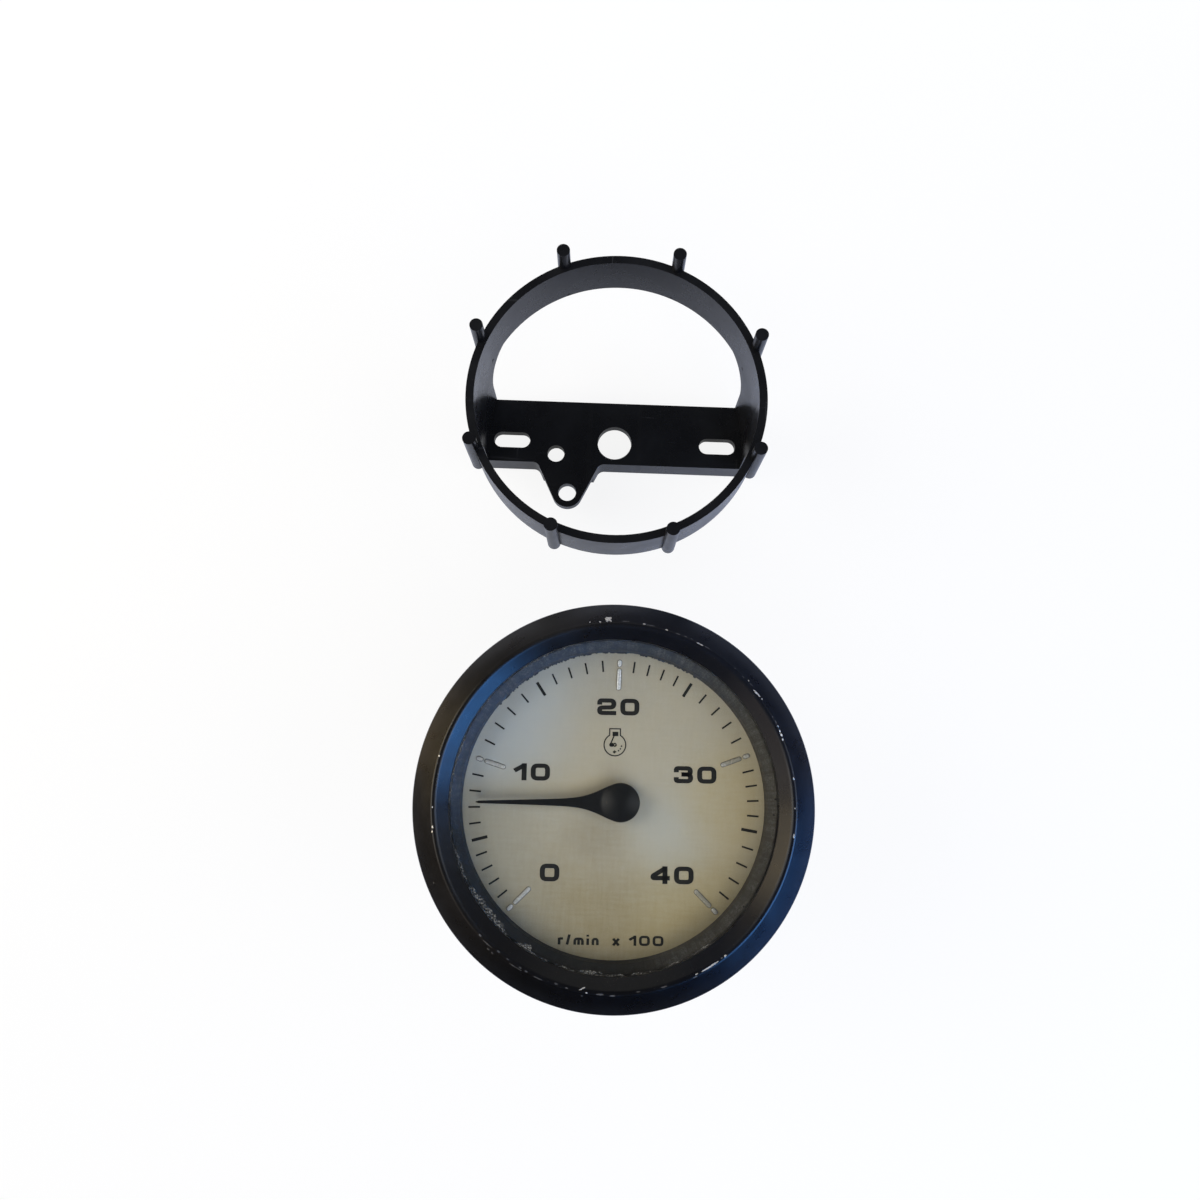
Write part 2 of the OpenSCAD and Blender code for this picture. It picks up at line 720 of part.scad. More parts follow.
// Two flat blades for the lamp leads
module lamp_blades() {
    color("#c9a54c") on_gauge(0, lamp_y) for (s = [-1, 1])
        translate([s * 3 - 0.4, -2.4, 0]) cube([0.8, 4.8, blade_len - 0.6]);
}

// Wedge bulb in the socket
module lamp_bulb() {
    bulb_top = board_z - 1;
    color("#eef3f2", 0.6) on_gauge(0, lamp_y) union() {
        translate([0, 0, floor_z - 1]) cylinder(d = glass_d, h = bulb_top - floor_z + 1 - glass_d / 2, $fn = 48);
        translate([0, 0, bulb_top - glass_d / 2]) sphere(d = glass_d, $fn = 48);
    }
}

// Headed studs through the case back
module mounting_studs() {
    color("#b9bcc0") on_gauge() for (s = [-1, 1]) translate([s * stud_x, 0, 0]) union() {
        cylinder(d = stud_d, h = back_z - washer_t - nut_t);
        cylinder(d = stud_d - thread_cut, h = floor_z + eps);
        translate([0, 0, floor_z]) rotate(30) cylinder(d = nut_af / cos(30), h = head_t, $fn = 6);
    }
}

// Nuts kept on the mounting studs
module mounting_nuts() {
    color("#b9bcc0") on_gauge() for (s = [-1, 1])
        translate([s * stud_x, 0, back_z - washer_t - nut_t]) mirror([0, 0, 1])
            translate([0, 0, -nut_t]) rotate(30) nut(nut_af, nut_t, stud_d - thread_cut + 2 * nut_gap);
}

// Split lock washers under the mounting nuts
module lock_washers() {
    color("#8f9397") on_gauge() for (s = [-1, 1])
        translate([s * stud_x, 0, back_z - washer_t]) difference() {
            cylinder(d = nut_af * 0.96, h = washer_t);
            translate([0, 0, -1]) cylinder(d = stud_d + 2 * hole_gap, h = washer_t + 2);
            translate([stud_d / 2 - 0.5, -0.3, -1]) cube([nut_af, 0.6, washer_t + 2]);
        }
}

// Headed terminal studs for the three wires
module terminal_studs() {
    color("#c2a45a") on_gauge() for (t = terminals) translate([t[0], t[1], 0]) union() {
        cylinder(d = term_d, h = back_z - ins_t - term_nut_t);
        cylinder(d = term_d - thread_cut, h = floor_z + eps);
        translate([0, 0, floor_z]) cylinder(d = term_af / cos(30), h = head_t, $fn = 6);
    }
}

// Insulating washers between the case back and the terminal nuts
module terminal_insulators() {
    color("#7a3326") on_gauge() for (t = terminals) translate([t[0], t[1], back_z - ins_t]) difference() {
        cylinder(d = term_af * 1.1, h = ins_t);
        translate([0, 0, -1]) cylinder(d = term_d + 2 * hole_gap, h = ins_t + 2);
    }
}

// Nuts on the terminal studs
module terminal_nuts() {
    color("#c2a45a") on_gauge() for (t = terminals)
        translate([t[0], t[1], back_z - ins_t - term_nut_t]) mirror([0, 0, 1])
            translate([0, 0, -term_nut_t]) nut(term_af, term_nut_t, term_d - thread_cut + 2 * nut_gap);
}

// Brass straps from the stud heads up to the board
module terminal_straps() {
    strap_z = floor_z + head_t;
    color("#c2a45a") on_gauge() for (t = terminals) translate([t[0], t[1], strap_z]) union() {
        translate([-strap_w / 2, -3, 0]) cube([strap_w, 6, strap_t]);
        translate([-strap_w / 2, -3, 0]) cube([strap_w, strap_t, board_z - strap_z]);
    }
}

// Side view of a bracket leg in Y and Z, with its flared corners under the ring
module leg_profile() {
    translate([-bar_low, 0]) square([bar_low + bar_top, ring_z + eps]);
    for (m = [[bar_top, 0], [-bar_low, 1]]) translate([m[0], ring_z]) mirror([m[1], 0]) difference() {
        translate([-eps, -leg_fillet]) square([leg_fillet + eps, leg_fillet + eps]);
        translate([leg_fillet, -leg_fillet]) circle(r = leg_fillet);
    }
}

// Plan of the bar with its ear, tangent sides down to the rounded end
module bar_plan() {
    offset(r = -ear_fillet, $fn = 32) offset(r = ear_fillet, $fn = 32) {
        translate([-ring_or, -bar_low]) square([2 * ring_or, bar_low + bar_top]);
        hull() {
            translate([-term_x, -term_y]) circle(r = ear_r, $fn = 48);
            translate([-term_x - ear_w / 2, -bar_low - 1]) square([ear_w, 1]);
        }
    }
}

// Plan of the walls behind the bar, which step out round the root of the ear
module wall_plan() {
    difference() {
        intersection() {
            bar_plan();
            translate([-ring_or, -ear_wall_y]) square([2 * ring_or, ear_wall_y + bar_top]);
        }
        offset(delta = -rib_t) intersection() {
            bar_plan();
            translate([-2 * ring_or, -ear_wall_y]) square([4 * ring_or, ear_wall_y + bar_top]);
        }
    }
    for (s = [-1, 1]) translate([s * rib_x - rib_t / 2, -bar_low]) square([rib_t, bar_low + bar_top]);
}

// Moulded bracket: ring, two legs, ribbed bar with slots and ear, eight pegs
module bracket() {
    color("#101114") translate([pair_shift, bracket_y, 0]) difference() {
        union() {
            translate([0, 0, ring_z]) band(ring_ir, ring_or, ring_h);
            intersection() {
                band(ring_ir + leg_relief, ring_or, ring_z + eps);
                translate([-ring_or - 1, 0, 0]) rotate([90, 0, 90])
                    linear_extrude(2 * ring_or + 2) leg_profile();
            }
            intersection() {
                cylinder(r = ring_ir + leg_relief + eps, h = bar_h, $fn = 128);
                union() {
                    translate([0, 0, bar_h - web_t]) linear_extrude(web_t) bar_plan();
                    linear_extrude(bar_h) wall_plan();
                }
            }
            for (k = [0:7]) rotate(22.5 + 45 * k) translate([peg_r, 0, ring_z])
                cylinder(d = peg_d, h = peg_z - ring_z, $fn = 32);
        }
        for (s = [-1, 1]) translate([s * stud_x, 0, -1]) {
            for (e = [-1, 1]) translate([e * (slot_len / 2 - slot_r), 0, 0])
                cylinder(r = slot_r, h = bar_h + 2, $fn = 48);
            translate([-slot_len / 2 + slot_r, -slot_r, 0]) cube([slot_len - slot_w, slot_w, bar_h + 2]);
        }
        translate([0, 0, -1]) cylinder(d = centre_hole_d, h = bar_h + 2);
        translate([-trim_x, -trim_y, -1]) cylinder(d = small_hole_d, h = bar_h + 2, $fn = 48);
        translate([-term_x, -term_y, -1]) cylinder(d = ear_hole_d, h = bar_h + 2, $fn = 48);
    }
}

case();
bezel();
lens();
lens_gasket();
panel_gasket();
mask_ring();
dial();
index_marks();
light_box();
pointer();
pointer_bush();
pointer_spindle();
rotor_magnet();
former_lower();
former_upper();
coil_sine();
coil_cosine();
shield_can();
circuit_board();
board_screws();
driver_chip();
capacitors();
resistors();
selector_switch();
selector_shaft();
trimmer_body();
trimmer_rotor();
lamp_socket();
lamp_blades();
lamp_bulb();
mounting_studs();
mounting_nuts();
lock_washers();
terminal_studs();
terminal_insulators();
terminal_nuts();
terminal_straps();
bracket();
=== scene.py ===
"""Looks of a four inch marine tachometer and its mounting bracket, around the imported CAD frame."""
import random
from math import atan2, cos, degrees, exp, hypot, pi, radians, sin, sqrt, tau

import bmesh
import bpy
from mathutils import Matrix, Vector


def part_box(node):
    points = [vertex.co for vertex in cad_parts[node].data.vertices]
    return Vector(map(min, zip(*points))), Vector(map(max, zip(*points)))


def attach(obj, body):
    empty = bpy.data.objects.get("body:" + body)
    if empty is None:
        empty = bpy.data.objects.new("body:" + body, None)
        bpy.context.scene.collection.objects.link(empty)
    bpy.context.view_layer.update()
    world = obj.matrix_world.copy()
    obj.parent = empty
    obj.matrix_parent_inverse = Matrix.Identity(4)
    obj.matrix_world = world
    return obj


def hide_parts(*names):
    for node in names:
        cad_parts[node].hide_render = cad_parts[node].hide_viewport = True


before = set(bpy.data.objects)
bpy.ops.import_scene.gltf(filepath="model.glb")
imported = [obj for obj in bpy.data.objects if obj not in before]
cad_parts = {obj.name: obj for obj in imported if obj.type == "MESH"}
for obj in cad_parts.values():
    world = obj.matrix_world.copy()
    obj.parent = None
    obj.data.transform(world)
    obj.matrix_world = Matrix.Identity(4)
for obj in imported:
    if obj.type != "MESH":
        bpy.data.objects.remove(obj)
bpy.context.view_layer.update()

MM = 0.001
scene = bpy.context.scene

# Places and heights read from the frame, in millimetres, and the given radius of the mask's opening
bezel_low, bezel_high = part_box("bezel")
AXIS_X = (bezel_low[0] + bezel_high[0]) / 2 / MM
AXIS_Y = (bezel_low[1] + bezel_high[1]) / 2 / MM
BEZEL_R = (bezel_high[0] - bezel_low[0]) / 2 / MM
SEAT_Z = bezel_low[2] / MM
LIP_Z = bezel_high[2] / MM
DIAL_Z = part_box("dial")[1][2] / MM
LENS_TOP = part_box("lens")[1][2] / MM
bracket_low, bracket_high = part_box("bracket")
BRACKET_X = (bracket_low[0] + bracket_high[0]) / 2 / MM
BRACKET_Y = (bracket_low[1] + bracket_high[1]) / 2 / MM
MASK_R = 38.9

# Camera, fitted to the bezel and the bracket: place in millimetres, turns about X, Y and Z, and lens
CAMERA_PLACE = (-3.57, -47.78, 325.5)
CAMERA_TURNS = (9.951, 0.397, 2.085)
CAMERA_LENS = 29.58

# Bezel: sheet thickness, skirt, lip and slope, in millimetres
BEZEL_T = 0.8
SKIRT_H = 2.4
LIP_IN = 6.7
LIP_W = 0.7
SLOPE_W = 3
RIDGE_R = 0.85
ROLL_R = 1.5
SHOULDER_R = 1.6
WINDOW_EDGE = 0.25
CASE_EDGE = 42.8
BEZEL_STEPS = 256
# Angles in degrees where the crown starts, where it ends, and where the roll after it ends
CROWN_FROM = 40
CROWN_TO = 100
ROLL_TO = 134
# Angle where the rounded edge at the window starts
EDGE_FROM = 136
# Shares of the inner slope at which the outline has a point
SLOPE_STEPS = (0.06, 0.3, 0.6, 0.85, 0.96, 1)
# How far a chip in the paint stands over it
CHIP_LIFT = 0.02

# Dial print: distances from the pivot and widths, in millimetres
DIAL_TURN = 1.15
# Middle of the print from the pivot
PRINT_MIDDLE = (0.08, -0.65)
PRINT_LIFT = 0.03
TICK_R = 37.4
TICK_LONG = 4.1
TICK_SHORT = 3
TICK_BOLD = 0.76
TICK_FINE = 0.46
# Angle of every fifth division, clockwise from the left
FIFTHS = (-45, -14.8, 17.7, 56.6, 91.7, 122.4, 159.3, 189.6, 225)
DIGIT_W = 5
DIGIT_H = 4.35
DIGIT_GAP = 1.05
PEN_WIDE = 1.3
PEN_THIN = 1.1
DIGIT_CORNER = 1.1
# Centre of each number on the dial, from the pivot
NUMBERS = {
    "0": (-16.05, -17.15), "10": (-21.2, 8), "20": (0.87, 25.15), "30": (21, 7.95), "40": (15.1, -17.3),
}
# Each word of the unit, its centre and its width
UNIT_WORDS = (("r/min", -8.4, 10.3), ("x", 1.1, 2.1), ("100", 8.75, 8.6))
UNIT_Y = -33.4
UNIT_H = 2.45
UNIT_PEN = 0.68
SYMBOL_Y = 15.3
SYMBOL_R = 2.82

# Pointer: the same formula as in the part
MARK_R = 35.2
TIP_SHORT = 0.1
BULB_D = 9.9
BULB_BACK = 1.8
TIP_W = 0.3
BLADE_TAPER = 0.028
FLARE_LEN = 6.8
BLADE_T = 1.2
DOME_H = 1.5
BLADE_LIFT = 2.2
POINTER_REST = -1.8


def at_gauge(x, y, z):
    """A point given from the gauge axis, in metres."""
    return Vector((AXIS_X + x, AXIS_Y + y, z)) * MM


def on_circle(radius, turn, z):
    """A point at a distance and an angle round the gauge axis, in metres."""
    return at_gauge(radius * cos(turn), radius * sin(turn), z)


def between(a, b, t):
    """The point at a share of the way from one flat point to another."""
    return (a[0] + (b[0] - a[0]) * t, a[1] + (b[1] - a[1]) * t)


def strip_faces(base, count, closed=False):
    """Faces of a band whose points come in pairs."""
    faces = []
    for i in range(count if closed else count - 1):
        a = base + 2 * i
        b = base + 2 * ((i + 1) % count)
        faces.append((a, a + 1, b + 1, b))
    return faces


def new_object(name, data):
    """A new object in the scene."""
    obj = bpy.data.objects.new(name, data)
    scene.collection.objects.link(obj)
    return obj


def piece_from(name, store, material, body="gauge", smooth=False):
    """A new mesh piece that rides on a body and takes its finish from a slot."""
    mesh = bpy.data.meshes.new(name)
    mesh.from_pydata([tuple(v) for v in store[0]], [], store[1])
    mesh.validate()
    mesh.update()
    for polygon in mesh.polygons:
        polygon.use_smooth = smooth
    mesh.materials.append(material)
    obj = new_object(name, mesh)
    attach(obj, body)
    return obj


# Materials

# Distances between the rings of a thread and between two wires, in millimetres
THREAD_PITCH = 0.79
WIRE_PITCH = 0.35


class Nodes:
    """A small builder for the nodes of a material or a world."""

    def __init__(self, name, world=False):
        self.owner = bpy.data.worlds.new(name) if world else bpy.data.materials.new(name)
        self.owner.use_nodes = True
        self.tree = self.owner.node_tree
        self.tree.nodes.clear()
        self.out = self.add("ShaderNodeOutputWorld" if world else "ShaderNodeOutputMaterial")
        self.place = self.add("ShaderNodeTexCoord").outputs["Generated" if world else "Object"]

    def add(self, kind, **values):
        node = self.tree.nodes.new(kind)
        for key, value in values.items():
            setattr(node, key, value)
        return node

    def link(self, a, b):
        self.tree.links.new(a, b)

    def set(self, socket, value):
        """Joins a socket to another one, or gives it a number or a colour."""
        if isinstance(value, bpy.types.NodeSocket):
            self.link(value, socket)
        else:
            socket.default_value = (*value, 1) if isinstance(value, tuple) else value

    def noise(self, scale, detail=3, rough=0.6, place=None, stretch=None):
        node = self.add("ShaderNodeTexNoise")
        for key, number in (("Scale", scale), ("Detail", detail), ("Roughness", rough)):
            node.inputs[key].default_value = number
        place = place or self.place
        if stretch:
            mapping = self.add("ShaderNodeMapping")
            mapping.inputs["Scale"].default_value = stretch
            self.link(place, mapping.inputs["Vector"])
            place = mapping.outputs["Vector"]
        self.link(place, node.inputs["Vector"])
        return node.outputs["Fac"]

    def span(self, value, low, high, to_low=0, to_high=1, kind="LINEAR"):
        """A value between two limits turned into one between two others."""
        node = self.add("ShaderNodeMapRange", clamp=True, interpolation_type=kind)
        self.link(value, node.inputs["Value"])
        for socket, number in zip(node.inputs[1:5], (low, high, to_low, to_high)):
            socket.default_value = number
        return node.outputs["Result"]

    def ease(self, value, low, high, to_low=0, to_high=1):
        """The same with a soft start and end."""
        return self.span(value, low, high, to_low, to_high, "SMOOTHSTEP")

    def math(self, kind, a, b=None):
        node = self.add("ShaderNodeMath", operation=kind)
        self.set(node.inputs[0], a)
        if b is not None:
            self.set(node.inputs[1], b)
        return node.outputs[0]

    def times(self, a, b):
        return self.math("MULTIPLY", a, b)

    def plus(self, a, b):
        return self.math("ADD", a, b)

    def weigh(self, x, x_share, y, y_share):
        """The sum of two values, each times its share."""
        return self.plus(self.times(x, x_share), self.times(y, y_share))

    def blend(self, factor, a, b):
        node = self.add("ShaderNodeMix", data_type="RGBA")
        self.set(node.inputs[0], factor)
        self.set(node.inputs[6], a)
        self.set(node.inputs[7], b)
        return node.outputs[2]

    def layer(self, factor, below, above):
        """Two shaders mixed by a factor."""
        mix = self.add("ShaderNodeMixShader")
        for source, socket in zip((factor, below.outputs[0], above.outputs[0]), mix.inputs):
            self.link(source, socket)
        return mix

    def bump(self, height, strength, distance, normal=None):
        node = self.add("ShaderNodeBump")
        node.inputs["Strength"].default_value = strength
        node.inputs["Distance"].default_value = distance
        self.link(height, node.inputs["Height"])
        if normal:
            self.link(normal, node.inputs["Normal"])
        return node.outputs["Normal"]

    def tones(self, grain, a, b):
        """Two colours mixed by a noise."""
        return self.blend(self.span(grain, 0.35, 0.65), a, b)

    def axes(self):
        """X, Y and Z of the place."""
        split = self.add("ShaderNodeSeparateXYZ")
        self.link(self.place, split.inputs[0])
        return split.outputs

    def from_axis(self, x=AXIS_X, y=AXIS_Y):
        """X and Y from a vertical axis, and the distance from it, in millimetres."""
        place = self.axes()
        x_mm = self.math("SUBTRACT", self.math("DIVIDE", place[0], MM), x)
        y_mm = self.math("SUBTRACT", self.math("DIVIDE", place[1], MM), y)
        return x_mm, y_mm, self.math("SQRT", self.weigh(x_mm, x_mm, y_mm, y_mm))

    def apart(self, value, middle):
        """How far a value is from a middle one."""
        return self.math("ABSOLUTE", self.math("SUBTRACT", value, middle))

    def ridges(self, along, pitch):
        """Ridges that follow each other at a pitch in millimetres."""
        return self.apart(self.math("FRACT", self.math("DIVIDE", along, pitch * MM)), 0.5)

    def surface(self, shader):
        """Gives the owner its last shader."""
        self.link(shader.outputs[0], self.out.inputs["Surface"])
        return self.owner

    def finish(self, color, rough, metal=0, normal=None, specular=0.5, **extra):
        shader = self.add("ShaderNodeBsdfPrincipled")
        self.set(shader.inputs["Base Color"], color)
        self.set(shader.inputs["Roughness"], rough)
        self.set(shader.inputs["Metallic"], metal)
        shader.inputs["Specular IOR Level"].default_value = specular
        for key, value in extra.items():
            self.set(shader.inputs[key], value)
        if normal:
            self.link(normal, shader.inputs["Normal"])
        return self.surface(shader)


def plain(name, color, other, rough, grain=900, specular=0.5, metal=0, depth=0.00004, bump=0.25):
    """Two close colours mixed by noise, with uneven gloss and a fine grain."""
    n = Nodes(name)
    cloud = n.noise(grain * 0.12, 4, 0.6)
    fine = n.noise(grain)
    tone = n.tones(cloud, color, other)
    gloss = n.span(fine, 0.3, 0.7, rough - 0.06, rough + 0.08)
    return n.finish(tone, gloss, metal, n.bump(fine, bump, depth), specular)


def threaded(name, color, other):
    """Plated metal with the rings of a thread."""
    n = Nodes(name)
    cloud = n.noise(700, 4, 0.65)
    groove = n.bump(n.ridges(n.axes()[2], THREAD_PITCH), 0.9, 0.00035)
    return n.finish(n.tones(cloud, color, other), n.span(cloud, 0.3, 0.7, 0.24, 0.44), 1, groove)


def black_paint():
    """Satin black paint with a little dust; its tint is painted reflection: warm on the left, blue on the
    right, near black at the front and paler over the upper slope.
    """
    n = Nodes("satin_black_paint")
    x, y, far = n.from_axis()
    cloud = n.noise(55, 4, 0.55)
    # Painted reflection: warm on the left, blue on the right
    tone = n.blend(n.ease(x, -38, 38), (0.0062, 0.0052, 0.0042), (0.0034, 0.0046, 0.0085))
    tone = n.blend(n.span(cloud, 0.35, 0.7, 0, 0.35), tone, (0.008, 0.008, 0.009))
    # Painted shade: darker towards the front
    tone = n.blend(n.ease(y, -49, -30, 0.85, 0), tone, (0.0014, 0.0014, 0.0018))
    # Painted sheen: paler over the upper slope near the rim
    upper = n.weigh(y, 0.9, x, -0.35)
    tone = n.blend(n.ease(upper, 40.5, 46.5, 0, 0.24), tone, (0.055, 0.053, 0.05))
    dust = n.noise(2600, 2)
    tone = n.blend(n.span(dust, 0.68, 0.78, 0, 0.35), tone, (0.12, 0.115, 0.1))
    rough = n.span(n.noise(160, 4, 0.65), 0.3, 0.7, 0.25, 0.36)
    peel = n.bump(n.noise(1400, 2, 0.5), 0.16, 0.00006)
    return n.finish(tone, rough, 0, peel, 0.25)


def bright_chip():
    """Bare metal where the paint came off."""
    n = Nodes("bare_metal_chip")
    grit = n.noise(2400, 3, 0.7)
    tone = n.tones(grit, (0.78, 0.75, 0.68), (0.4, 0.37, 0.33))
    return n.finish(tone, n.span(grit, 0.3, 0.7, 0.3, 0.55), 0.55, n.bump(grit, 0.4, 0.00004))


# Tones of the dial: main, left, painted shade at the lower left and lower right, and painted blue reflection
# at the upper left
DIAL_WARM = (0.462, 0.408, 0.295)
DIAL_LEFT = (0.375, 0.345, 0.262)
DIAL_SHADE_LOW_LEFT = (0.318, 0.256, 0.134)
DIAL_SHADE_LOW_RIGHT = (0.398, 0.325, 0.17)
DIAL_BLUE_REFLECTION = (0.505, 0.528, 0.515)
# Soft spots of painted light and shade on the dial, the dark ones round the hub being the pointer's painted
# shadow: place from the pivot, inner and outer radius, share and tone
DIAL_LIGHT_AND_SHADE_SPOTS = (
    ((13, -6), 1, 16, 0.8, (0.475, 0.455, 0.37)),
    ((-4, -9), 2, 13, 0.7, (0.32, 0.272, 0.178)),
    ((-1, 7), 2, 8, 0.5, (0.36, 0.31, 0.215)),
    ((30, 3), 3, 20, 0.8, (0.46, 0.374, 0.205)),
    ((-2, 33), 3, 17, 0.5, (0.39, 0.36, 0.29)),
)


def dial_paint():
    """Fine silver print on the dial, with a painted blue reflection at the upper left, painted shade that
    darkens and yellows it below and round the hub, and painted shade towards its edge.
    """
    n = Nodes("silver_dial")
    x, y, far = n.from_axis()
    drift = n.times(n.math("SUBTRACT", n.noise(28, 3, 0.5), 0.5), 12)
    # Painted shade: darker and yellower towards the bottom
    low = n.blend(n.ease(x, 0, 15), DIAL_SHADE_LOW_LEFT, DIAL_SHADE_LOW_RIGHT)
    tone = n.blend(n.ease(n.plus(y, drift), -27, -2, 1, 0), DIAL_WARM, low)
    tone = n.blend(n.ease(n.plus(x, drift), -27, -5, 0.6, 0), tone, DIAL_LEFT)
    slant = n.weigh(x, -0.88, y, 0.48)
    upper = n.ease(y, -6, 12)
    # Painted blue reflection over the upper left
    cool = n.times(n.ease(n.plus(slant, drift), 11, 38), upper)
    tone = n.blend(cool, tone, DIAL_BLUE_REFLECTION)
    # Soft spots of painted light and shade, with the pointer's painted shadow round the hub
    for place, inner, outer, share, color in DIAL_LIGHT_AND_SHADE_SPOTS:
        away = n.from_axis(AXIS_X + place[0], AXIS_Y + place[1])[2]
        tone = n.blend(n.ease(n.plus(away, drift), inner, outer, share, 0), tone, color)
    # Painted shade towards the dial's edge, under the mask
    tone = n.blend(n.ease(far, 33, 39.5, 0, 0.3), tone, (0.29, 0.27, 0.21))
    weave_a = n.noise(1500, 2, stretch=(1, 0.12, 1))
    weave_b = n.noise(1500, 2, stretch=(0.12, 1, 1))
    fleck = n.noise(3400, 2, 0.5)
    mixed = n.weigh(n.weigh(weave_a, 0.5, weave_b, 0.5), 0.65, fleck, 0.35)
    tone = n.blend(n.span(mixed, 0.38, 0.62, 0, 0.16), tone, (0.66, 0.62, 0.5))
    rough = n.span(mixed, 0.35, 0.65, 0.46, 0.58)
    return n.finish(tone, rough, 0.12, n.bump(mixed, 0.22, 0.00005), 0.4)


def mask_paint():
    """Grey funnel with settled dust in streaks down its slope, thicker and crumbly near its edges, with
    painted coloured light, bluish on the upper left and warm on the lower right, and painted shade over its
    lower left.
    """
    n = Nodes("dusty_mask")
    x, y, far = n.from_axis()
    # Painted coloured light: bluish on the upper left, warm on the lower right
    side = n.ease(n.weigh(x, 0.8, y, -0.6), -30, 30)
    base = n.blend(side, (0.03, 0.038, 0.052), (0.034, 0.031, 0.025))
    around = n.add("ShaderNodeCombineXYZ")
    n.link(n.math("DIVIDE", x, far), around.inputs[0])
    n.link(n.math("DIVIDE", y, far), around.inputs[1])
    streak = n.noise(38, 4, 0.7, around.outputs[0])
    grain = n.noise(2300, 4, 0.7)
    clump = n.noise(520, 4, 0.65)
    amount = n.times(n.span(grain, 0.42, 0.62), n.span(clump, 0.34, 0.6))
    amount = n.times(amount, n.span(streak, 0.35, 0.65, 0.3, 1.3))
    rim = n.span(n.apart(far, 40.3), 0.2, 1.3, 1, 0.4)
    dust = n.times(amount, rim)
    tone = n.blend(n.times(dust, 0.55), base, (0.17, 0.17, 0.165))
    tone = n.blend(n.span(streak, 0.45, 0.7, 0, 0.3), tone, (0.085, 0.085, 0.09))
    # Painted shade over the lower left of the funnel
    shade = n.weigh(x, -0.574, y, -0.819)
    tone = n.blend(n.ease(shade, 19, 31, 0, 0.9), tone, (0.007, 0.007, 0.0055))
    return n.finish(tone, n.span(grain, 0.3, 0.7, 0.55, 0.8), 0, n.bump(dust, 0.5, 0.0001), 0.3)


def glass(name, tint, haze):
    """Clear pane: transparent, with Fresnel gloss and a little dust."""
    n = Nodes(name)
    clear = n.add("ShaderNodeBsdfTransparent")
    n.set(clear.inputs["Color"], tint)
    gloss = n.add("ShaderNodeBsdfGlossy")
    n.set(gloss.inputs["Roughness"], 0.06)
    n.set(gloss.inputs["Color"], (0.95, 0.97, 1))
    facing = n.add("ShaderNodeLayerWeight").outputs["Facing"]
    shine = n.plus(n.times(n.math("POWER", facing, 5), 0.95), 0.03)
    film = n.add("ShaderNodeBsdfDiffuse")
    n.set(film.inputs["Color"], (0.55, 0.56, 0.55))
    speck = n.noise(1900, 3, 0.65)
    smear = n.noise(60, stretch=(1, 0.4, 1))
    amount = n.plus(n.span(speck, 0.66, 0.8, 0, haze), n.span(smear, 0.45, 0.75, 0, haze * 0.25))
    return n.surface(n.layer(amount, n.layer(shine, clear, gloss), film))


def moulded_plastic():
    """Semi-gloss black moulding: rubbed haze, fine scratches, dust and sink lines over the ribs."""
    n = Nodes("moulded_black_plastic")
    x, y, far = n.from_axis(BRACKET_X, BRACKET_Y)
    cloud = n.noise(85, 4)
    tone = n.blend(n.span(cloud, 0.35, 0.68), (0.0036, 0.0038, 0.0047), (0.0058, 0.0062, 0.0076))
    scratch = n.noise(900, 2, 0.5, stretch=(0.05, 1, 1))
    cross = n.noise(700, 2, 0.5, stretch=(1, 0.06, 1))
    lines = n.math("MAXIMUM", n.span(scratch, 0.7, 0.76), n.span(cross, 0.71, 0.77))
    tone = n.blend(n.times(lines, 0.25), tone, (0.07, 0.07, 0.075))
    dust = n.noise(3000, 2)
    tone = n.blend(n.span(dust, 0.7, 0.8, 0, 0.4), tone, (0.14, 0.14, 0.145))
    rib = n.apart(n.math("ABSOLUTE", x), 8.4)
    sink = n.times(n.ease(rib, 0.3, 1.1, 1, 0), n.span(far, 30, 34, 1, 0))
    rough = n.plus(n.span(cloud, 0.3, 0.7, 0.24, 0.33), n.times(sink, 0.05))
    fine = n.bump(n.noise(1600), 0.2, 0.00005)
    sunk = n.bump(sink, 0.25, 0.00006, fine)
    return n.finish(tone, rough, 0, sunk, 0.5)


def chrome():
    """Hot-stamped silver of the raised marks, near the dial's tone, with painted highlights on the top bar,
    the bars on the left and the ends of the bars.
    """
    n = Nodes("bright_marks")
    x, y, far = n.from_axis()
    grain = n.noise(1800, 2, 0.5)
    # Tone of the painted highlights, and the marks' own duller tone
    bright = n.tones(grain, (0.86, 0.87, 0.88), (0.72, 0.73, 0.74))
    dull_tone = n.tones(grain, (0.44, 0.42, 0.35), (0.37, 0.35, 0.29))
    # Where the highlight is painted: the top bar, the left bars and the bar ends
    left = n.span(x, -24, 8, 0.55, 0)
    ends = n.math("MAXIMUM", n.span(far, 35.2, 36.2, 0, 0.85), n.span(far, 30.2, 31.2, 0.6, 0))
    ends = n.times(ends, n.span(x, -4, 16, 1, 0.45))
    painted_glint = n.math("MAXIMUM", n.math("MAXIMUM", n.span(y, 18, 27), left), ends)
    tone = n.blend(painted_glint, dull_tone, bright)
    return n.finish(tone, n.span(grain, 0.3, 0.7, 0.2, 0.32), 0.3, n.bump(grain, 0.2, 0.00003))


def speckled_dust():
    """Pale dust in separate specks, clear between them."""
    n = Nodes("joint_dust")
    fine = n.noise(2400)
    patch = n.noise(420)
    amount = n.times(n.span(fine, 0.47, 0.6), n.span(patch, 0.3, 0.55, 0.25, 1))
    tone = n.tones(patch, (0.3, 0.295, 0.27), (0.16, 0.157, 0.145))
    rough = n.span(fine, 0.3, 0.7, 0.75, 0.9)
    return n.finish(tone, rough, 0, n.bump(fine, 0.3, 0.00004), 0.2, Alpha=amount)


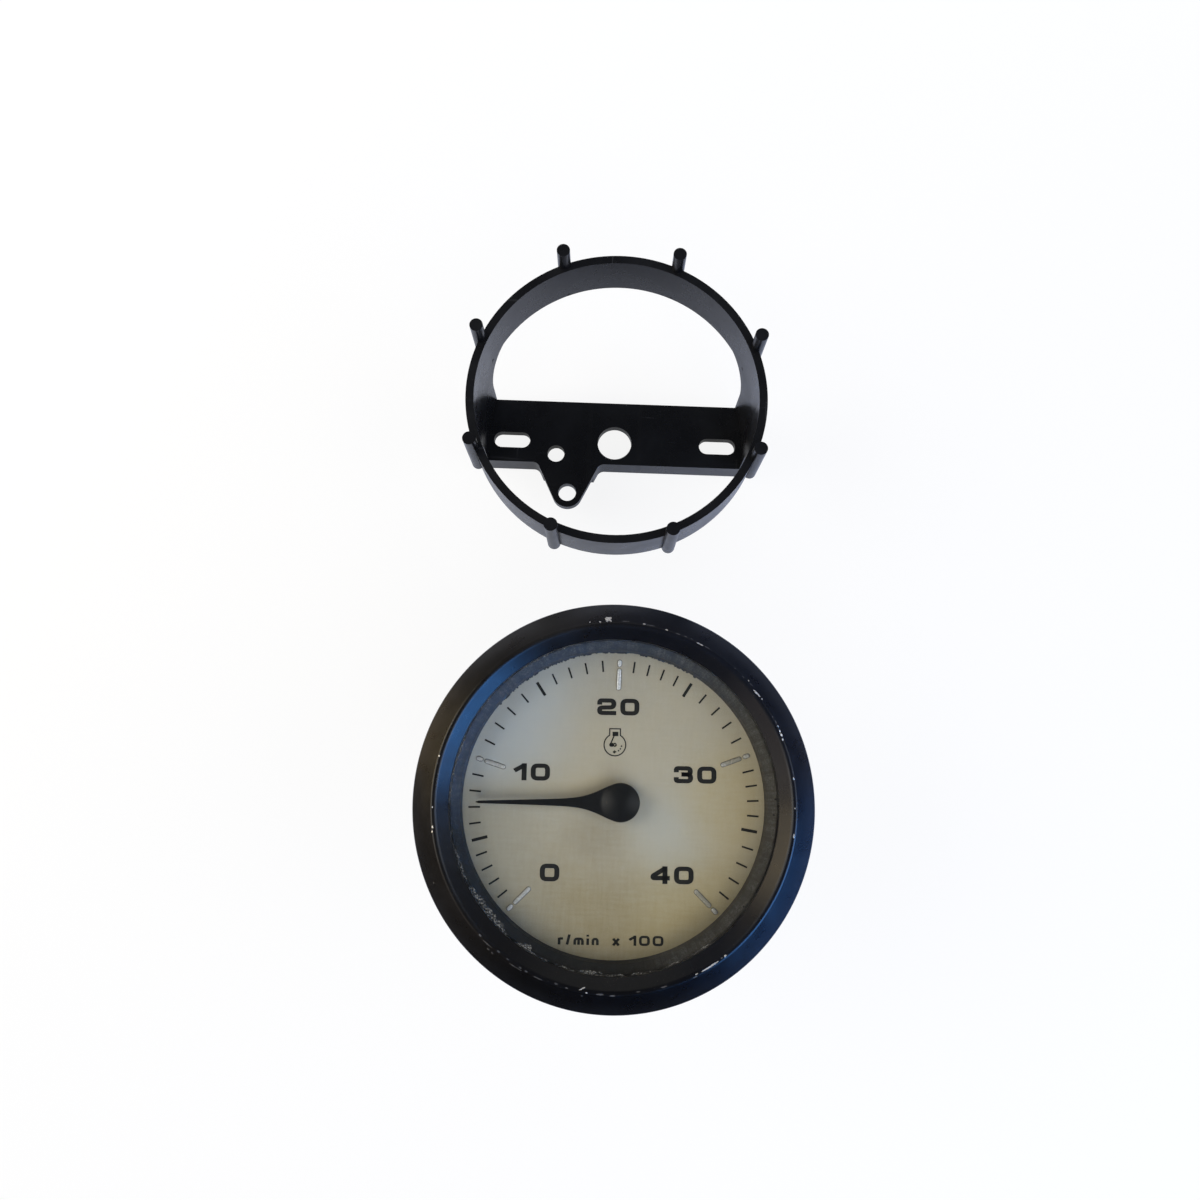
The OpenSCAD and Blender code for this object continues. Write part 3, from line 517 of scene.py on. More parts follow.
PAINT = black_paint()
CHIP = bright_chip()
DIAL = dial_paint()
MASK = mask_paint()
LENS = glass("lens_glass", (0.985, 0.99, 0.985), 0.02)
BULB = glass("bulb_glass", (0.95, 0.96, 0.96), 0.08)
BRACKET = moulded_plastic()
CHROME = chrome()
DUST = speckled_dust()
SCUFF = plain("rubbed_paint", (0.085, 0.082, 0.078), (0.032, 0.031, 0.03), 0.5, 2600, 0.3)
INK = plain("black_ink", (0.009, 0.009, 0.009), (0.015, 0.0145, 0.014), 0.5, 1600, 0.3)
# Painted shade round the edges of the raised marks
MARK_EDGE_SHADE = plain("mark_edge_shade", (0.09, 0.09, 0.088), (0.14, 0.138, 0.13), 0.5, 2000, 0.3)
CASE = plain("case_plastic", (0.009, 0.009, 0.01), (0.014, 0.014, 0.015), 0.48, 1300, 0.4, depth=0.00008)
NEEDLE = plain("pointer_plastic", (0.004, 0.0045, 0.0052), (0.006, 0.0066, 0.0076), 0.42, 2200, 0.25)
SOCKET = plain("socket_plastic", (0.012, 0.012, 0.013), (0.02, 0.02, 0.021), 0.42, 1500)
SEAL = plain("seal_rubber", (0.016, 0.016, 0.016), (0.028, 0.027, 0.026), 0.8, 1500, depth=0.00015, bump=0.5)
FOAM = plain("foam_gasket", (0.02, 0.02, 0.021), (0.04, 0.04, 0.04), 0.9, 2300, depth=0.0003, bump=0.8)
WHITE = plain("white_plastic", (0.68, 0.66, 0.6), (0.76, 0.75, 0.7), 0.45)
BRASS = plain("brass", (0.6, 0.42, 0.17), (0.42, 0.28, 0.11), 0.34, 800, metal=1)
TERMINAL = threaded("terminal_brass", (0.6, 0.42, 0.17), (0.4, 0.26, 0.1))
STUD = threaded("stud_steel", (0.55, 0.55, 0.54), (0.36, 0.35, 0.33))
STEEL = plain("zinc_steel", (0.56, 0.56, 0.55), (0.4, 0.39, 0.37), 0.34, 800, metal=1)
CAN = plain("plated_can", (0.5, 0.51, 0.52), (0.4, 0.41, 0.42), 0.3, 500, metal=1)
MAGNET = plain("sintered_magnet", (0.09, 0.09, 0.095), (0.14, 0.14, 0.145), 0.6, 1800, metal=0.3)
FORMER = plain("former_plastic", (0.016, 0.018, 0.021), (0.026, 0.028, 0.032), 0.5, 1200)
BOARD = plain("board_green", (0.012, 0.085, 0.03), (0.02, 0.12, 0.045), 0.32, 500)
CHIP_BODY = plain("chip_epoxy", (0.012, 0.012, 0.012), (0.02, 0.02, 0.02), 0.55, 2000)
SLEEVE = plain("blue_sleeve", (0.02, 0.035, 0.1), (0.03, 0.05, 0.13), 0.3, 700)
RESISTOR = plain("resistor_tan", (0.45, 0.29, 0.14), (0.55, 0.38, 0.2), 0.4, 1100)
SWITCH = plain("switch_plastic", (0.018, 0.025, 0.032), (0.03, 0.04, 0.05), 0.42, 1000)
TRIMMER = plain("trimmer_blue", (0.02, 0.09, 0.3), (0.03, 0.12, 0.38), 0.35)
FIBRE = plain("red_fibre", (0.15, 0.028, 0.018), (0.22, 0.05, 0.03), 0.6, 1500)


def copper_wire():
    """Enamelled winding wire, laid side by side round the former."""
    n = Nodes("copper_winding")
    x, y, z = n.axes()
    ridge = n.ridges(n.plus(x, y), WIRE_PITCH)
    cloud = n.noise(800)
    tone = n.tones(cloud, (0.5, 0.17, 0.06), (0.36, 0.11, 0.04))
    return n.finish(tone, n.span(cloud, 0.3, 0.7, 0.26, 0.4), 0.8, n.bump(ridge, 0.7, 0.00015))


COPPER = copper_wire()

# Finish of the CAD nodes that stay: material, bevel of their edges in millimetres, and their names
DRESS = (
    (CASE, 0, "case"), (LENS, 0.15, "lens"), (SEAL, 0, "lens_gasket"), (FOAM, 0.2, "panel_gasket"),
    (MASK, 0, "mask_ring"), (DIAL, 0, "dial"), (WHITE, 0.3, "light_box"), (BRASS, 0.1, "pointer_bush"),
    (STEEL, 0.1, "pointer_spindle board_screws"), (MAGNET, 0.2, "rotor_magnet"),
    (FORMER, 0, "former_lower former_upper"), (COPPER, 0.3, "coil_sine coil_cosine"),
    (CAN, 0.2, "shield_can"), (BOARD, 0.1, "circuit_board"), (CHIP_BODY, 0.1, "driver_chip"),
    (SLEEVE, 0.2, "capacitors"), (RESISTOR, 0.1, "resistors"), (SWITCH, 0.3, "selector_switch"),
    (WHITE, 0.25, "selector_shaft"), (TRIMMER, 0.2, "trimmer_body"), (WHITE, 0.1, "trimmer_rotor"),
    (SOCKET, 0.2, "lamp_socket"), (BRASS, 0.15, "lamp_blades"), (BULB, 0, "lamp_bulb"),
    (STUD, 0.25, "mounting_studs"), (STEEL, 0.12, "mounting_nuts lock_washers"),
    (TERMINAL, 0.25, "terminal_studs"), (FIBRE, 0.15, "terminal_insulators"),
    (BRASS, 0.12, "terminal_nuts terminal_straps"), (BRACKET, 0.2, "bracket"),
)


def dress_nodes():
    """Gives each CAD node its material and softens its edges."""
    for material, bevel, names in DRESS:
        for name in names.split():
            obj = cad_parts[name]
            obj.data.materials.clear()
            obj.data.materials.append(material)
            if bevel:
                modifier = obj.modifiers.new("soft_edges", "BEVEL")
                modifier.width = bevel * MM
                modifier.segments = 2
                modifier.limit_method = "ANGLE"
                modifier.angle_limit = radians(35)


# Bezel


def arc(centre, radius, first, last, steps, skip=1):
    """Points of an arc between two angles in degrees, without its first one unless skip is 0."""
    turns = [radians(first + (last - first) * i / steps) for i in range(skip, steps + 1)]
    return [(centre[0] + radius * cos(a), centre[1] + radius * sin(a)) for a in turns]


def bezel_outline():
    """The visible outline of the bezel as radius and height, from its back edge to the lens."""
    lip_r = BEZEL_R - LIP_IN
    win_r = lip_r - SLOPE_W
    back = SEAT_Z + 0.01
    points = [(CASE_EDGE, back + BEZEL_T), (CASE_EDGE, back)]
    points += arc((BEZEL_R - BEZEL_T, back + BEZEL_T), BEZEL_T, -90, 0, 8, 0)
    points.append((BEZEL_R, SEAT_Z + SKIRT_H - 0.5))
    slope = degrees(atan2(LIP_Z - SEAT_Z - SKIRT_H - 1.55, LIP_IN - LIP_W - 0.95))
    points += arc((BEZEL_R - SHOULDER_R, SEAT_Z + SKIRT_H - 0.3), SHOULDER_R, 0, 90 - slope, 8, 0)
    foot = points[-1]
    crown = arc((lip_r + 0.5, LIP_Z - CHIP_LIFT - RIDGE_R), RIDGE_R, CROWN_FROM, CROWN_TO, 10, 0)
    for i in range(1, 9):
        r, z = between(foot, crown[0], i / 8)
        swell = 0.07 * sin(pi * i / 8)
        points.append((r + swell, z + swell))
    points += crown[1:]
    turn = radians(CROWN_TO)
    roll = (points[-1][0] - ROLL_R * cos(turn), points[-1][1] - ROLL_R * sin(turn))
    points += arc(roll, ROLL_R, CROWN_TO, ROLL_TO, 8)
    top = points[-1]
    edge = arc((win_r + WINDOW_EDGE, LENS_TOP + BEZEL_T - WINDOW_EDGE), WINDOW_EDGE, EDGE_FROM, 180, 4, 0)
    points += [between(top, edge[0], t) for t in SLOPE_STEPS]
    points += edge[1:]
    points.append((win_r, LENS_TOP + 0.03))
    points.append((win_r + 1.5, LENS_TOP + 0.03))
    return points


def make_bezel():
    """Spun sheet bezel turned from its outline, closed underneath."""
    outline = bezel_outline()
    verts = []
    for i in range(BEZEL_STEPS):
        verts += [on_circle(r, tau * i / BEZEL_STEPS, z) for r, z in outline]
    count = len(outline)
    faces = []
    for i in range(BEZEL_STEPS):
        a = i * count
        b = (i + 1) % BEZEL_STEPS * count
        faces += [(a + k, b + k, b + k + 1, a + k + 1) for k in range(count - 1)]
    bezel = piece_from("bezel_shell", (verts, faces), PAINT, smooth=True)
    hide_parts("bezel")
    return outline


def height_on(outline, radius):
    """Height of the bezel's upper side at a radius."""
    upper = outline[12:-2]
    best = SEAT_Z
    for (r0, z0), (r1, z1) in zip(upper, upper[1:]):
        if min(r0, r1) <= radius <= max(r0, r1) and abs(r1 - r0) > 1e-6:
            best = max(best, z0 + (z1 - z0) * (radius - r0) / (r1 - r0))
    return best


# Chips in the paint: angle anticlockwise from the right, radius, length along the rim, width and any slant
CHIPS = (
    (99.7, 45.6, 0.45, 0.3), (96.4, 45.4, 0.55, 0.5), (82.2, 45.35, 0.7, 0.4), (74.8, 45.2, 0.8, 0.5),
    (63.2, 45.15, 2, 0.4, 0.05), (43.9, 45.5, 0.45, 0.4), (39.2, 44.95, 2.6, 0.5, 0.25),
    (36.8, 45.15, 0.5, 0.4), (26.9, 45.1, 0.5, 0.35), (25.3, 44.95, 0.7, 0.4), (24, 44.9, 0.9, 0.55, 0.1),
    (22.5, 44.75, 0.6, 0.5), (9.9, 44.75, 0.7, 0.4), (0.7, 44.45, 0.4, 0.35), (-7.9, 44.6, 1.2, 0.45, 0.15),
    (-51.2, 44.5, 0.75, 0.55), (-56.9, 44.5, 5, 0.45), (-61.7, 44.4, 0.8, 0.35),
    (-98, 43.9, 1.5, 0.4, 0.85), (-96.5, 44.6, 0.5, 0.4), (167.1, 44.8, 0.5, 0.45),
    (-176.8, 44.6, 0.5, 0.45), (-170.7, 44.75, 0.7, 0.45), (-169.3, 45.05, 0.5, 0.6),
)
# Fainter rubbed spots, given the same way
SCUFFS = (
    (80.1, 45.3, 2.4, 0.35, 0.1), (88.1, 45.5, 2, 0.3), (70.9, 45.2, 1.3, 0.4), (68.3, 45.3, 0.9, 0.4),
    (66.3, 45.4, 0.6, 0.35), (60.6, 45.35, 1.6, 0.35), (49.6, 45.3, 0.5, 0.45), (45.9, 45.1, 0.8, 0.35),
    (42.4, 45.3, 1.2, 0.35, 0.1), (30.3, 45, 0.6, 0.4), (28.4, 45.1, 1, 0.3), (11.9, 44.95, 0.7, 0.35),
    (-52.5, 44.4, 0.6, 0.35), (-62.4, 44.9, 1.2, 0.35), (-72.4, 44.35, 1.6, 0.4), (-80.5, 44.25, 1.1, 0.3),
    (-92.3, 44.6, 2, 0.45), (-88.5, 44.8, 1.4, 0.4), (-97.7, 45.6, 0.5, 0.4), (-102.7, 44.5, 0.7, 0.35),
    (-106.2, 44.3, 0.9, 0.5), (-116.1, 44.55, 0.8, 0.5), (-118.3, 44.5, 0.8, 0.5),
    (-119.6, 45, 3.6, 0.3, 0.1), (-122.9, 44.5, 0.8, 0.4), (-126.5, 44.45, 0.9, 0.5),
    (-127.7, 45.8, 0.7, 0.5), (-129.4, 45.8, 0.8, 0.5), (-134, 44.7, 0.9, 0.5), (-154.5, 48.25, 0.5, 0.5),
    (169.4, 44.7, 0.4, 0.3), (172.6, 44, 0.4, 0.4), (156.3, 44.85, 0.5, 0.35), (155.2, 44.95, 0.5, 0.35),
    (-130.6, 44.9, 3, 0.3, 0.2), (-112, 44.7, 2.6, 0.3),
)
# Outline of the largest chip as angle and radius
BLOB = (
    (94.8, 46.36), (94.3, 46.76), (93.6, 46.62), (92.9, 46.72), (92.6, 46.31), (93.1, 45.98), (92.7, 45.5),
    (92.8, 45.25), (93.3, 45.45), (93.7, 45.6), (94, 45.3), (94.5, 45.25), (94.3, 45.6), (94.7, 45.89),
)


def on_bezel(outline, angle, radius):
    """A point just above the bezel at an angle and a radius."""
    return on_circle(radius, radians(angle), height_on(outline, radius) + CHIP_LIFT)


def add_chips(store, outline, rows, rng):
    """Ragged patches that follow the surface of the bezel, added to the lists of points and faces."""
    verts, faces = store
    for angle, radius, length, width, *rest in rows:
        slant = rest[0] if rest else 0
        steps = max(6, int(length * 5))
        base = len(verts)
        for i in range(steps + 1):
            t = 2 * i / steps - 1
            turn = angle - degrees(t * length / 2 / radius)
            middle = radius + slant * t / 2
            round_off = sqrt(max(1 - t * t, 0))
            for across in (-1, -0.5, 0, 0.5, 1):
                ragged = rng.uniform(0.55, 1.05) if abs(across) == 1 else 0.8
                verts.append(on_bezel(outline, turn, middle + across * ragged * round_off * width / 2))
        for i in range(steps):
            for k in range(4):
                a = base + i * 5 + k
                faces.append((a, a + 5, a + 6, a + 1))


def make_chips(outline):
    """Bare metal chips, fainter rubbed spots and the one large chip at the top."""
    rng = random.Random(5)
    chips = ([], [])
    add_chips(chips, outline, CHIPS, rng)
    start = len(chips[0]) + 1
    middle = [sum(p[k] for p in BLOB) / len(BLOB) for k in (0, 1)]
    chips[0].append(on_bezel(outline, *middle))
    for share in (0.5, 1):
        chips[0].extend([on_bezel(outline, *between(middle, point, share)) for point in BLOB])
    count = len(BLOB)
    for i in range(count):
        j = (i + 1) % count
        chips[1].append((start - 1, start + i, start + j))
        chips[1].append((start + i, start + count + i, start + count + j, start + j))
    scuffs = ([], [])
    add_chips(scuffs, outline, SCUFFS, rng)
    piece_from("paint_chips", chips, CHIP)
    piece_from("paint_scuffs", scuffs, SCUFF)


# Dirt where the lens meets the bezel: first and last angle, widest, and share of the way that is bare
DUST_RUNS = (
    (104, 180, 0.6, 0.2), (180, 208, 0.7, 0.1), (208, 242, 1.7, 0.05), (242, 270, 1, 0.1),
    (270, 312, 0.6, 0.2),
)
# Painted shadow in the gap of the same joint, given the same way
GAP_SHADOW_RUNS = ((-46, -33, 0.32, 0.35), (-30, 8, 0.3, 0.1), (58, 88, 0.25, 0.45))
# Spots of painted shadow in the gap: angle, radius and size, and the points round each
GAP_SHADOW_SPOTS = ((3.4, 40.45, 0.36), (-2, 39.9, 0.32), (-36, 40.3, 0.26))
SPOT_POINTS = 11


def ragged_ring(store, radius, z, runs, rng, change=0.28):
    """Strips of uneven width inside a radius, added to the lists of points and faces."""
    verts, faces = store
    for first, last, widest, bare in runs:
        width = 0.5
        base = len(verts)
        steps = int((last - first) * 3)
        for i in range(steps + 1):
            a = radians(first + (last - first) * i / steps)
            width = min(1, max(0, width + rng.uniform(-change, change)))
            inner = radius - 0.02 - widest * max(0, width - bare) / (1 - bare)
            verts += [on_circle(radius, a, z), on_circle(inner, a, z)]
        faces += strip_faces(base, steps + 1)


def make_joint():
    """Pale dirt along the left and lower joint of the lens, painted shadow in the gap at the right, crumbs on
    the mask.
    """
    rng = random.Random(11)
    window = BEZEL_R - LIP_IN - SLOPE_W - 0.01
    level = LENS_TOP + 0.02
    dust = ([], [])
    ragged_ring(dust, window, level, DUST_RUNS, rng)
    # Painted shadow in the gap between lens and bezel
    gap_shadow = ([], [])
    ragged_ring(gap_shadow, window, level, GAP_SHADOW_RUNS, rng)
    for angle, radius, size in GAP_SHADOW_SPOTS:
        centre = on_circle(radius, radians(angle), level)
        base = len(gap_shadow[0])
        for i in range(SPOT_POINTS):
            t = tau * i / SPOT_POINTS
            r = size * rng.uniform(0.65, 1.1) * MM
            gap_shadow[0].append(centre + Vector((r * cos(t), r * sin(t), 0)))
        gap_shadow[1].append(tuple(range(base, base + SPOT_POINTS)))
    crumbs = ([], [])
    ragged_ring(crumbs, MASK_R + 0.02, DIAL_Z + 0.04, ((58, 142, 0.34, 0.1),), rng, 1.3)
    piece_from("joint_dust", dust, DUST)
    piece_from("joint_grime", gap_shadow, INK)
    piece_from("mask_crumbs", crumbs, MASK)


# Dial print

DISC_POINTS = 20
# Divisions of the scale, and how many of them lie between two numbers
DIVISIONS = 40
NUMBERED = 10


def rounded(points, radius, closed=False):
    """A path with its corners turned into arcs."""
    path = []
    count = len(points)
    for i, point in enumerate(points):
        here = Vector(point)
        if not closed and i in (0, count - 1):
            path.append(here)
            continue
        back = Vector(points[i - 1]) - here
        ahead = Vector(points[(i + 1) % count]) - here
        reach = min(radius, back.length * 0.49, ahead.length * 0.49)
        start = here + back.normalized() * reach
        end = here + ahead.normalized() * reach
        for k in range(7):
            t = k / 6
            path.append(start * (1 - t) ** 2 + here * 2 * t * (1 - t) + end * t * t)
    return path


def ribbon(store, path, wide, thin, closed=False):
    """Flat stroke of an oval pen along a path, added to the lists of points and faces."""
    verts, faces = store
    count = len(path)
    base = len(verts)
    for i, point in enumerate(path):
        if closed:
            along = path[(i + 1) % count] - path[i - 1]
        else:
            along = path[min(i + 1, count - 1)] - path[max(i - 1, 0)]
        side = Vector((-along.y, along.x)).normalized()
        push = Vector((wide * wide * side.x, thin * thin * side.y)) / 4
        push /= hypot(wide / 2 * side.x, thin / 2 * side.y)
        verts += [point + push, point - push]
    faces += strip_faces(base, count, closed)


def disc(store, centre, radius, inner=0):
    """Flat round spot or ring, added to the lists of points and faces."""
    verts, faces = store
    base = len(verts)
    for i in range(DISC_POINTS):
        turn = tau * i / DISC_POINTS
        out = Vector((cos(turn), sin(turn)))
        verts += [centre + out * inner, centre + out * radius]
    faces += strip_faces(base, DISC_POINTS, True)


# Strokes of each glyph in a box one wide and one high, between the middles of the outer strokes.
# A value under zero or over one runs to the outer edge of the glyph. The strokes of LOOPS are closed.
GLYPHS = {
    "0": [[(0, 0), (1, 0), (1, 1), (0, 1)]],
    "1": [[(-1, 0.58), (0.92, 0.99)], [(1, 2), (1, -1)]],
    "2": [[(0, 0.66), (0, 1), (1, 1), (1, 0.46), (0, 0.42), (0, 0), (2, 0)]],
    "3": [
        [(0, 0.68), (0, 1), (0.98, 1), (0.98, 0.52), (0.36, 0.52)],
        [(0.36, 0.52), (1, 0.52), (1, 0), (0, 0), (0, 0.3)],
    ],
    "4": [[(0.84, 1), (0.02, 0.44), (0.02, 0.27), (2, 0.27)], [(0.84, 2), (0.84, -1)]],
    "x": [[(0, -1), (1, 0.72)], [(0, 0.72), (1, -1)]],
    "r": [[(0, -1), (0, 0.72)], [(0, 0.2), (0, 0.62), (2, 0.62)]],
    "/": [[(0, -1), (1, 2)]],
    "m": [[(0, -1), (0, 0.62), (1, 0.62), (1, -1)], [(0.5, -1), (0.5, 0.62)]],
    "i": [[(0.5, -1), (0.5, 0.68)], [(0.5, 0.92), (0.5, 2)]],
    "n": [[(0, -1), (0, 0.62), (1, 0.62), (1, -1)]],
}
LOOPS = "0"
# Width of the other glyphs as a share of a nought
SHARES = {"1": 0.64, "/": 0.6, "i": 0.28, "r": 0.62, "m": 1.25, "n": 0.85, "x": 1}


def reach(value, span, pen):
    """A glyph value in millimetres from the middle of its first stroke."""
    if value < 0:
        return -pen / 2
    return span + pen / 2 if value > 1 else value * span


def write(store, word, centre, width, height, gap, wide, thin, corner):
    """A word of ribbon glyphs round a centre."""
    widths = [width * SHARES.get(c, 1) for c in word]
    total = sum(widths) + gap * (len(word) - 1)
    x = centre[0] - total / 2 + wide / 2
    y = centre[1] - height / 2 + thin / 2
    for glyph, across in zip(word, widths):
        closed = glyph in LOOPS
        for points in GLYPHS[glyph]:
            path = [
                (x + reach(px, across - wide, wide), y + reach(py, height - thin, thin)) for px, py in points
            ]
            ribbon(store, rounded(path, corner, closed), wide, thin, closed)
        x += across + gap


# Symbol, from its centre: strokes as start, end and pen, spots as centre, radius and inner radius
SYMBOL_PEN = 0.31
SYMBOL_BARS = (
    ((-0.65, 2.82), (0.87, 2.82), 1.1), ((-0.22, 2.4), (-1.08, 0.3), 0.34), ((-1, 0), (-0.45, 0), 1),
)
SYMBOL_SPOTS = (
    ((-0.95, 0), 0.52, 0), ((-0.02, 0), 0.53, 0.17), ((1.72, -0.3), 0.22, 0),
    ((1.45, -1), 0.21, 0), ((0.98, -1.5), 0.21, 0),
)
# Corners of the arrow's head
SYMBOL_ARROW = (
    (-0.57, -1.85), (-0.05, -2.3), (0.07, -2), (0.43, -1.92), (0.39, -1.6), (0.07, -1.62), (-0.01, -1.3),
)


def symbol(store):
    """Engine speed symbol: a case with its cylinder, rod, crank and a dotted arrow."""
    neck = radians(29.5)
    centre = Vector((0.12, SYMBOL_Y))
    side = SYMBOL_R * sin(neck)
    path = []
    for i in range(45):
        a = neck + (tau - 2 * neck) * i / 44
        path.append(centre + Vector((sin(a), cos(a))) * SYMBOL_R)
    ribbon(store, path, SYMBOL_PEN, SYMBOL_PEN)
    walls = [((x, 2.4), (x, 4.15 + SYMBOL_PEN / 2), SYMBOL_PEN) for x in (-side, side)]
    head = ((-side, 4.15), (side, 4.15), SYMBOL_PEN)
    for start, end, pen in (*walls, head, *SYMBOL_BARS):
        ribbon(store, [centre + Vector(start), centre + Vector(end)], pen, pen)
    for place, radius, inner in SYMBOL_SPOTS:
        disc(store, centre + Vector(place), radius, inner)
    verts, faces = store
    faces.append(tuple(range(len(verts), len(verts) + len(SYMBOL_ARROW))))
    verts.extend([centre + Vector(corner) for corner in SYMBOL_ARROW])


def on_print(flat, height):
    """A point of the print, given from its own middle and over the dial, in metres."""
    turned = Matrix.Rotation(radians(DIAL_TURN), 2) @ flat + Vector(PRINT_MIDDLE)
    return at_gauge(turned.x, turned.y, DIAL_Z + height)


def make_print():
    """Ticks, numbers, symbol and unit in black ink, just above the dial."""
    ticks = ([], [])
    for division in range(DIVISIONS):
        if division % NUMBERED == 0:
            continue
        low, high = FIFTHS[division // 5:division // 5 + 2]
        sweep = radians(low + (high - low) * (division % 5) / 5)
        out = Vector((-cos(sweep), sin(sweep)))
        bold = division % 5 == 0
        length = TICK_LONG if bold else TICK_SHORT
        pen = TICK_BOLD if bold else TICK_FINE
        ribbon(ticks, [out * TICK_R, out * (TICK_R - length)], pen, pen)
    letters = ([], [])
    for word, centre in NUMBERS.items():
        write(letters, word, centre, DIGIT_W, DIGIT_H, DIGIT_GAP, PEN_WIDE, PEN_THIN, DIGIT_CORNER)
    for word, middle, width in UNIT_WORDS:
        shares = sum(SHARES.get(c, 1) for c in word)
        across = (width - UNIT_PEN * (len(word) - 1)) / shares
        write(letters, word, (middle, UNIT_Y), across, UNIT_H, UNIT_PEN, UNIT_PEN, UNIT_PEN * 0.85, UNIT_PEN)
    symbol(letters)
    for name, (flats, faces) in (("dial_ticks", ticks), ("dial_lettering", letters)):
        verts = [on_print(flat, PRINT_LIFT) for flat in flats]
        piece_from(name, (verts, faces), INK)


# Raised marks at every tenth division: inner and outer end of each bar and of its dot
MARK_BARS = ((29.6, 35.2), (35.75, 37.5))
MARK_W = 1
MARK_H = 0.45
MARK_ANGLES = (-45, 17.7, 91.7, 159.3, 225)
# Rings of a domed bar from its foot up: share of the half width cut off, and share of the height
MARK_RINGS = ((0, 0), (0, 0.55), (0.14, 0.85), (0.4, 1), (0.75, 1.06))
# How far the painted shade round the edge of a bar reaches in under it and out from it
OUTLINE_IN = 0.05
OUTLINE_OUT = 0.13
# Points round one end of a bar, and round the whole of it
END_POINTS = 9
PILL_POINTS = 2 * END_POINTS


def pill(start, end, half):
    """Outline of a bar with round ends, as points from the pivot."""
    along = (end - start).normalized()
    side = Vector((-along.y, along.x))
    points = []
    for centre, way in ((end, half), (start, -half)):
        for i in range(END_POINTS):
            t = pi * i / (END_POINTS - 1) - pi / 2
            points.append(centre + along * way * (cos(t) - 1) + side * way * sin(t))
    return points


def pill_faces(low, high):
    """Faces between two outlines of a bar, given by their first points."""
    steps = [(i, (i + 1) % PILL_POINTS) for i in range(PILL_POINTS)]
    return [(low + i, low + j, high + j, high + i) for i, j in steps]


def make_marks():
    """Bright bars with domed tops, and a fine ring of painted shade round their edges."""
    verts = []
    faces = []
    edge_shade = ([], [])
    for sweep in MARK_ANGLES:
        a = radians(sweep)
        out = Vector((-cos(a), sin(a)))
        for near, far in MARK_BARS:
            middle = out * (near + far) / 2
            straight = (far - near - MARK_W) / 2
            for level, (inset, rise) in enumerate(MARK_RINGS):
                base = len(verts)
                for point in pill(out * near, out * far, MARK_W / 2):
                    core = middle + out * min(max((point - middle).dot(out), -straight), straight)
                    verts.append(on_print(core + (point - core) * (1 - inset), MARK_H * rise))
                if level:
                    faces += pill_faces(base - PILL_POINTS, base)
            faces.append(tuple(range(base, base + PILL_POINTS)))
            # A ring of painted shade round the foot of the bar
            base = len(edge_shade[0])
            for grow in (-OUTLINE_IN, OUTLINE_OUT):
                outline = pill(out * (near - grow), out * (far + grow), MARK_W / 2 + grow)
                edge_shade[0].extend([on_print(point, PRINT_LIFT) for point in outline])
            edge_shade[1].extend(pill_faces(base, base + PILL_POINTS))
    bars = piece_from("index_bars", (verts, faces), CHROME, smooth=True)
    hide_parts("index_marks")
    piece_from("index_outlines", edge_shade, MARK_EDGE_SHADE)


# Pointer: its length from the bulb centre, and its rounding at the tip and along its edges

BLADE_LEN = MARK_R - TIP_SHORT + BULB_BACK
BULB_R = BULB_D / 2
TIP_ROUND = 0.4
EDGE_ROUND = 0.45
# Rows of points round the bulb, along the blade, and points across each row
BULB_ROWS = 24
BLADE_ROWS = 64
ROW_POINTS = 17


def quarter(share):
    """Height of a quarter circle of radius one at a share of the way out from its middle."""
    return sqrt(max(1 - share * share, 0))


def half_width(s):
    """Half width of the pointer at a distance from the bulb centre."""
    bulb = BULB_R * quarter(s / BULB_R)
    if s < 0:
        return bulb
    swell = (BULB_R - TIP_W - BLADE_TAPER * BLADE_LEN) * exp(-((s / FLARE_LEN) ** 1.85))
    return max(TIP_W + BLADE_TAPER * (BLADE_LEN - s) + swell, bulb)


def make_pointer():
    """Teardrop pointer with rounded edges and a low dome over the spindle."""
    foot = DIAL_Z + BLADE_LIFT
    stations = [-BULB_R * cos(pi / 2 * i / BULB_ROWS) for i in range(BULB_ROWS + 1)]
    stations += [BLADE_LEN * (i / BLADE_ROWS) ** 1.25 for i in range(1, BLADE_ROWS + 1)]
    across = ROW_POINTS
    turn = Matrix.Rotation(radians(180 - POINTER_REST), 2)
    verts = []
    for s in stations:
        half = max(half_width(s), 0.02)
        tip = quarter(max(s - BLADE_LEN + TIP_ROUND, 0) / TIP_ROUND)
        crown = min(EDGE_ROUND, half * 0.8)
        for k in range(across):
            y = -cos(pi * k / (across - 1)) * half * max(tip, 0.25)
            dome = DOME_H * max(0, 1 - (s * s + y * y) / BULB_R ** 2)
            drop = crown * (1 - quarter(max(crown - half + abs(y), 0) / crown))
            flat = turn @ Vector((s - BULB_BACK, y))
            verts.append(at_gauge(flat.x, flat.y, foot + BLADE_T + dome - drop))
    top = len(verts)
    verts += [Vector((v.x, v.y, foot * MM)) for v in verts]
    faces = []
    rows = len(stations)
    for i in range(rows - 1):
        for k in range(across - 1):
            a = i * across + k
            faces.append((a, a + across, a + across + 1, a + 1))
            faces.append((top + a, top + a + 1, top + a + across + 1, top + a + across))
        for k in (0, across - 1):
            a = i * across + k
            faces.append((a, top + a, top + a + across, a + across))
    for i in (0, rows - 1):
        for k in range(across - 1):
            a = i * across + k
            faces.append((a, a + 1, top + a + 1, top + a))
    pointer = piece_from("pointer_teardrop", (verts, faces), NEEDLE, "needle", True)
    mesh = bmesh.new()
    mesh.from_mesh(pointer.data)
    bmesh.ops.remove_doubles(mesh, verts=mesh.verts, dist=2e-6)
    bmesh.ops.recalc_face_normals(mesh, faces=mesh.faces)
    mesh.to_mesh(pointer.data)
    mesh.free()
    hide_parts("pointer")


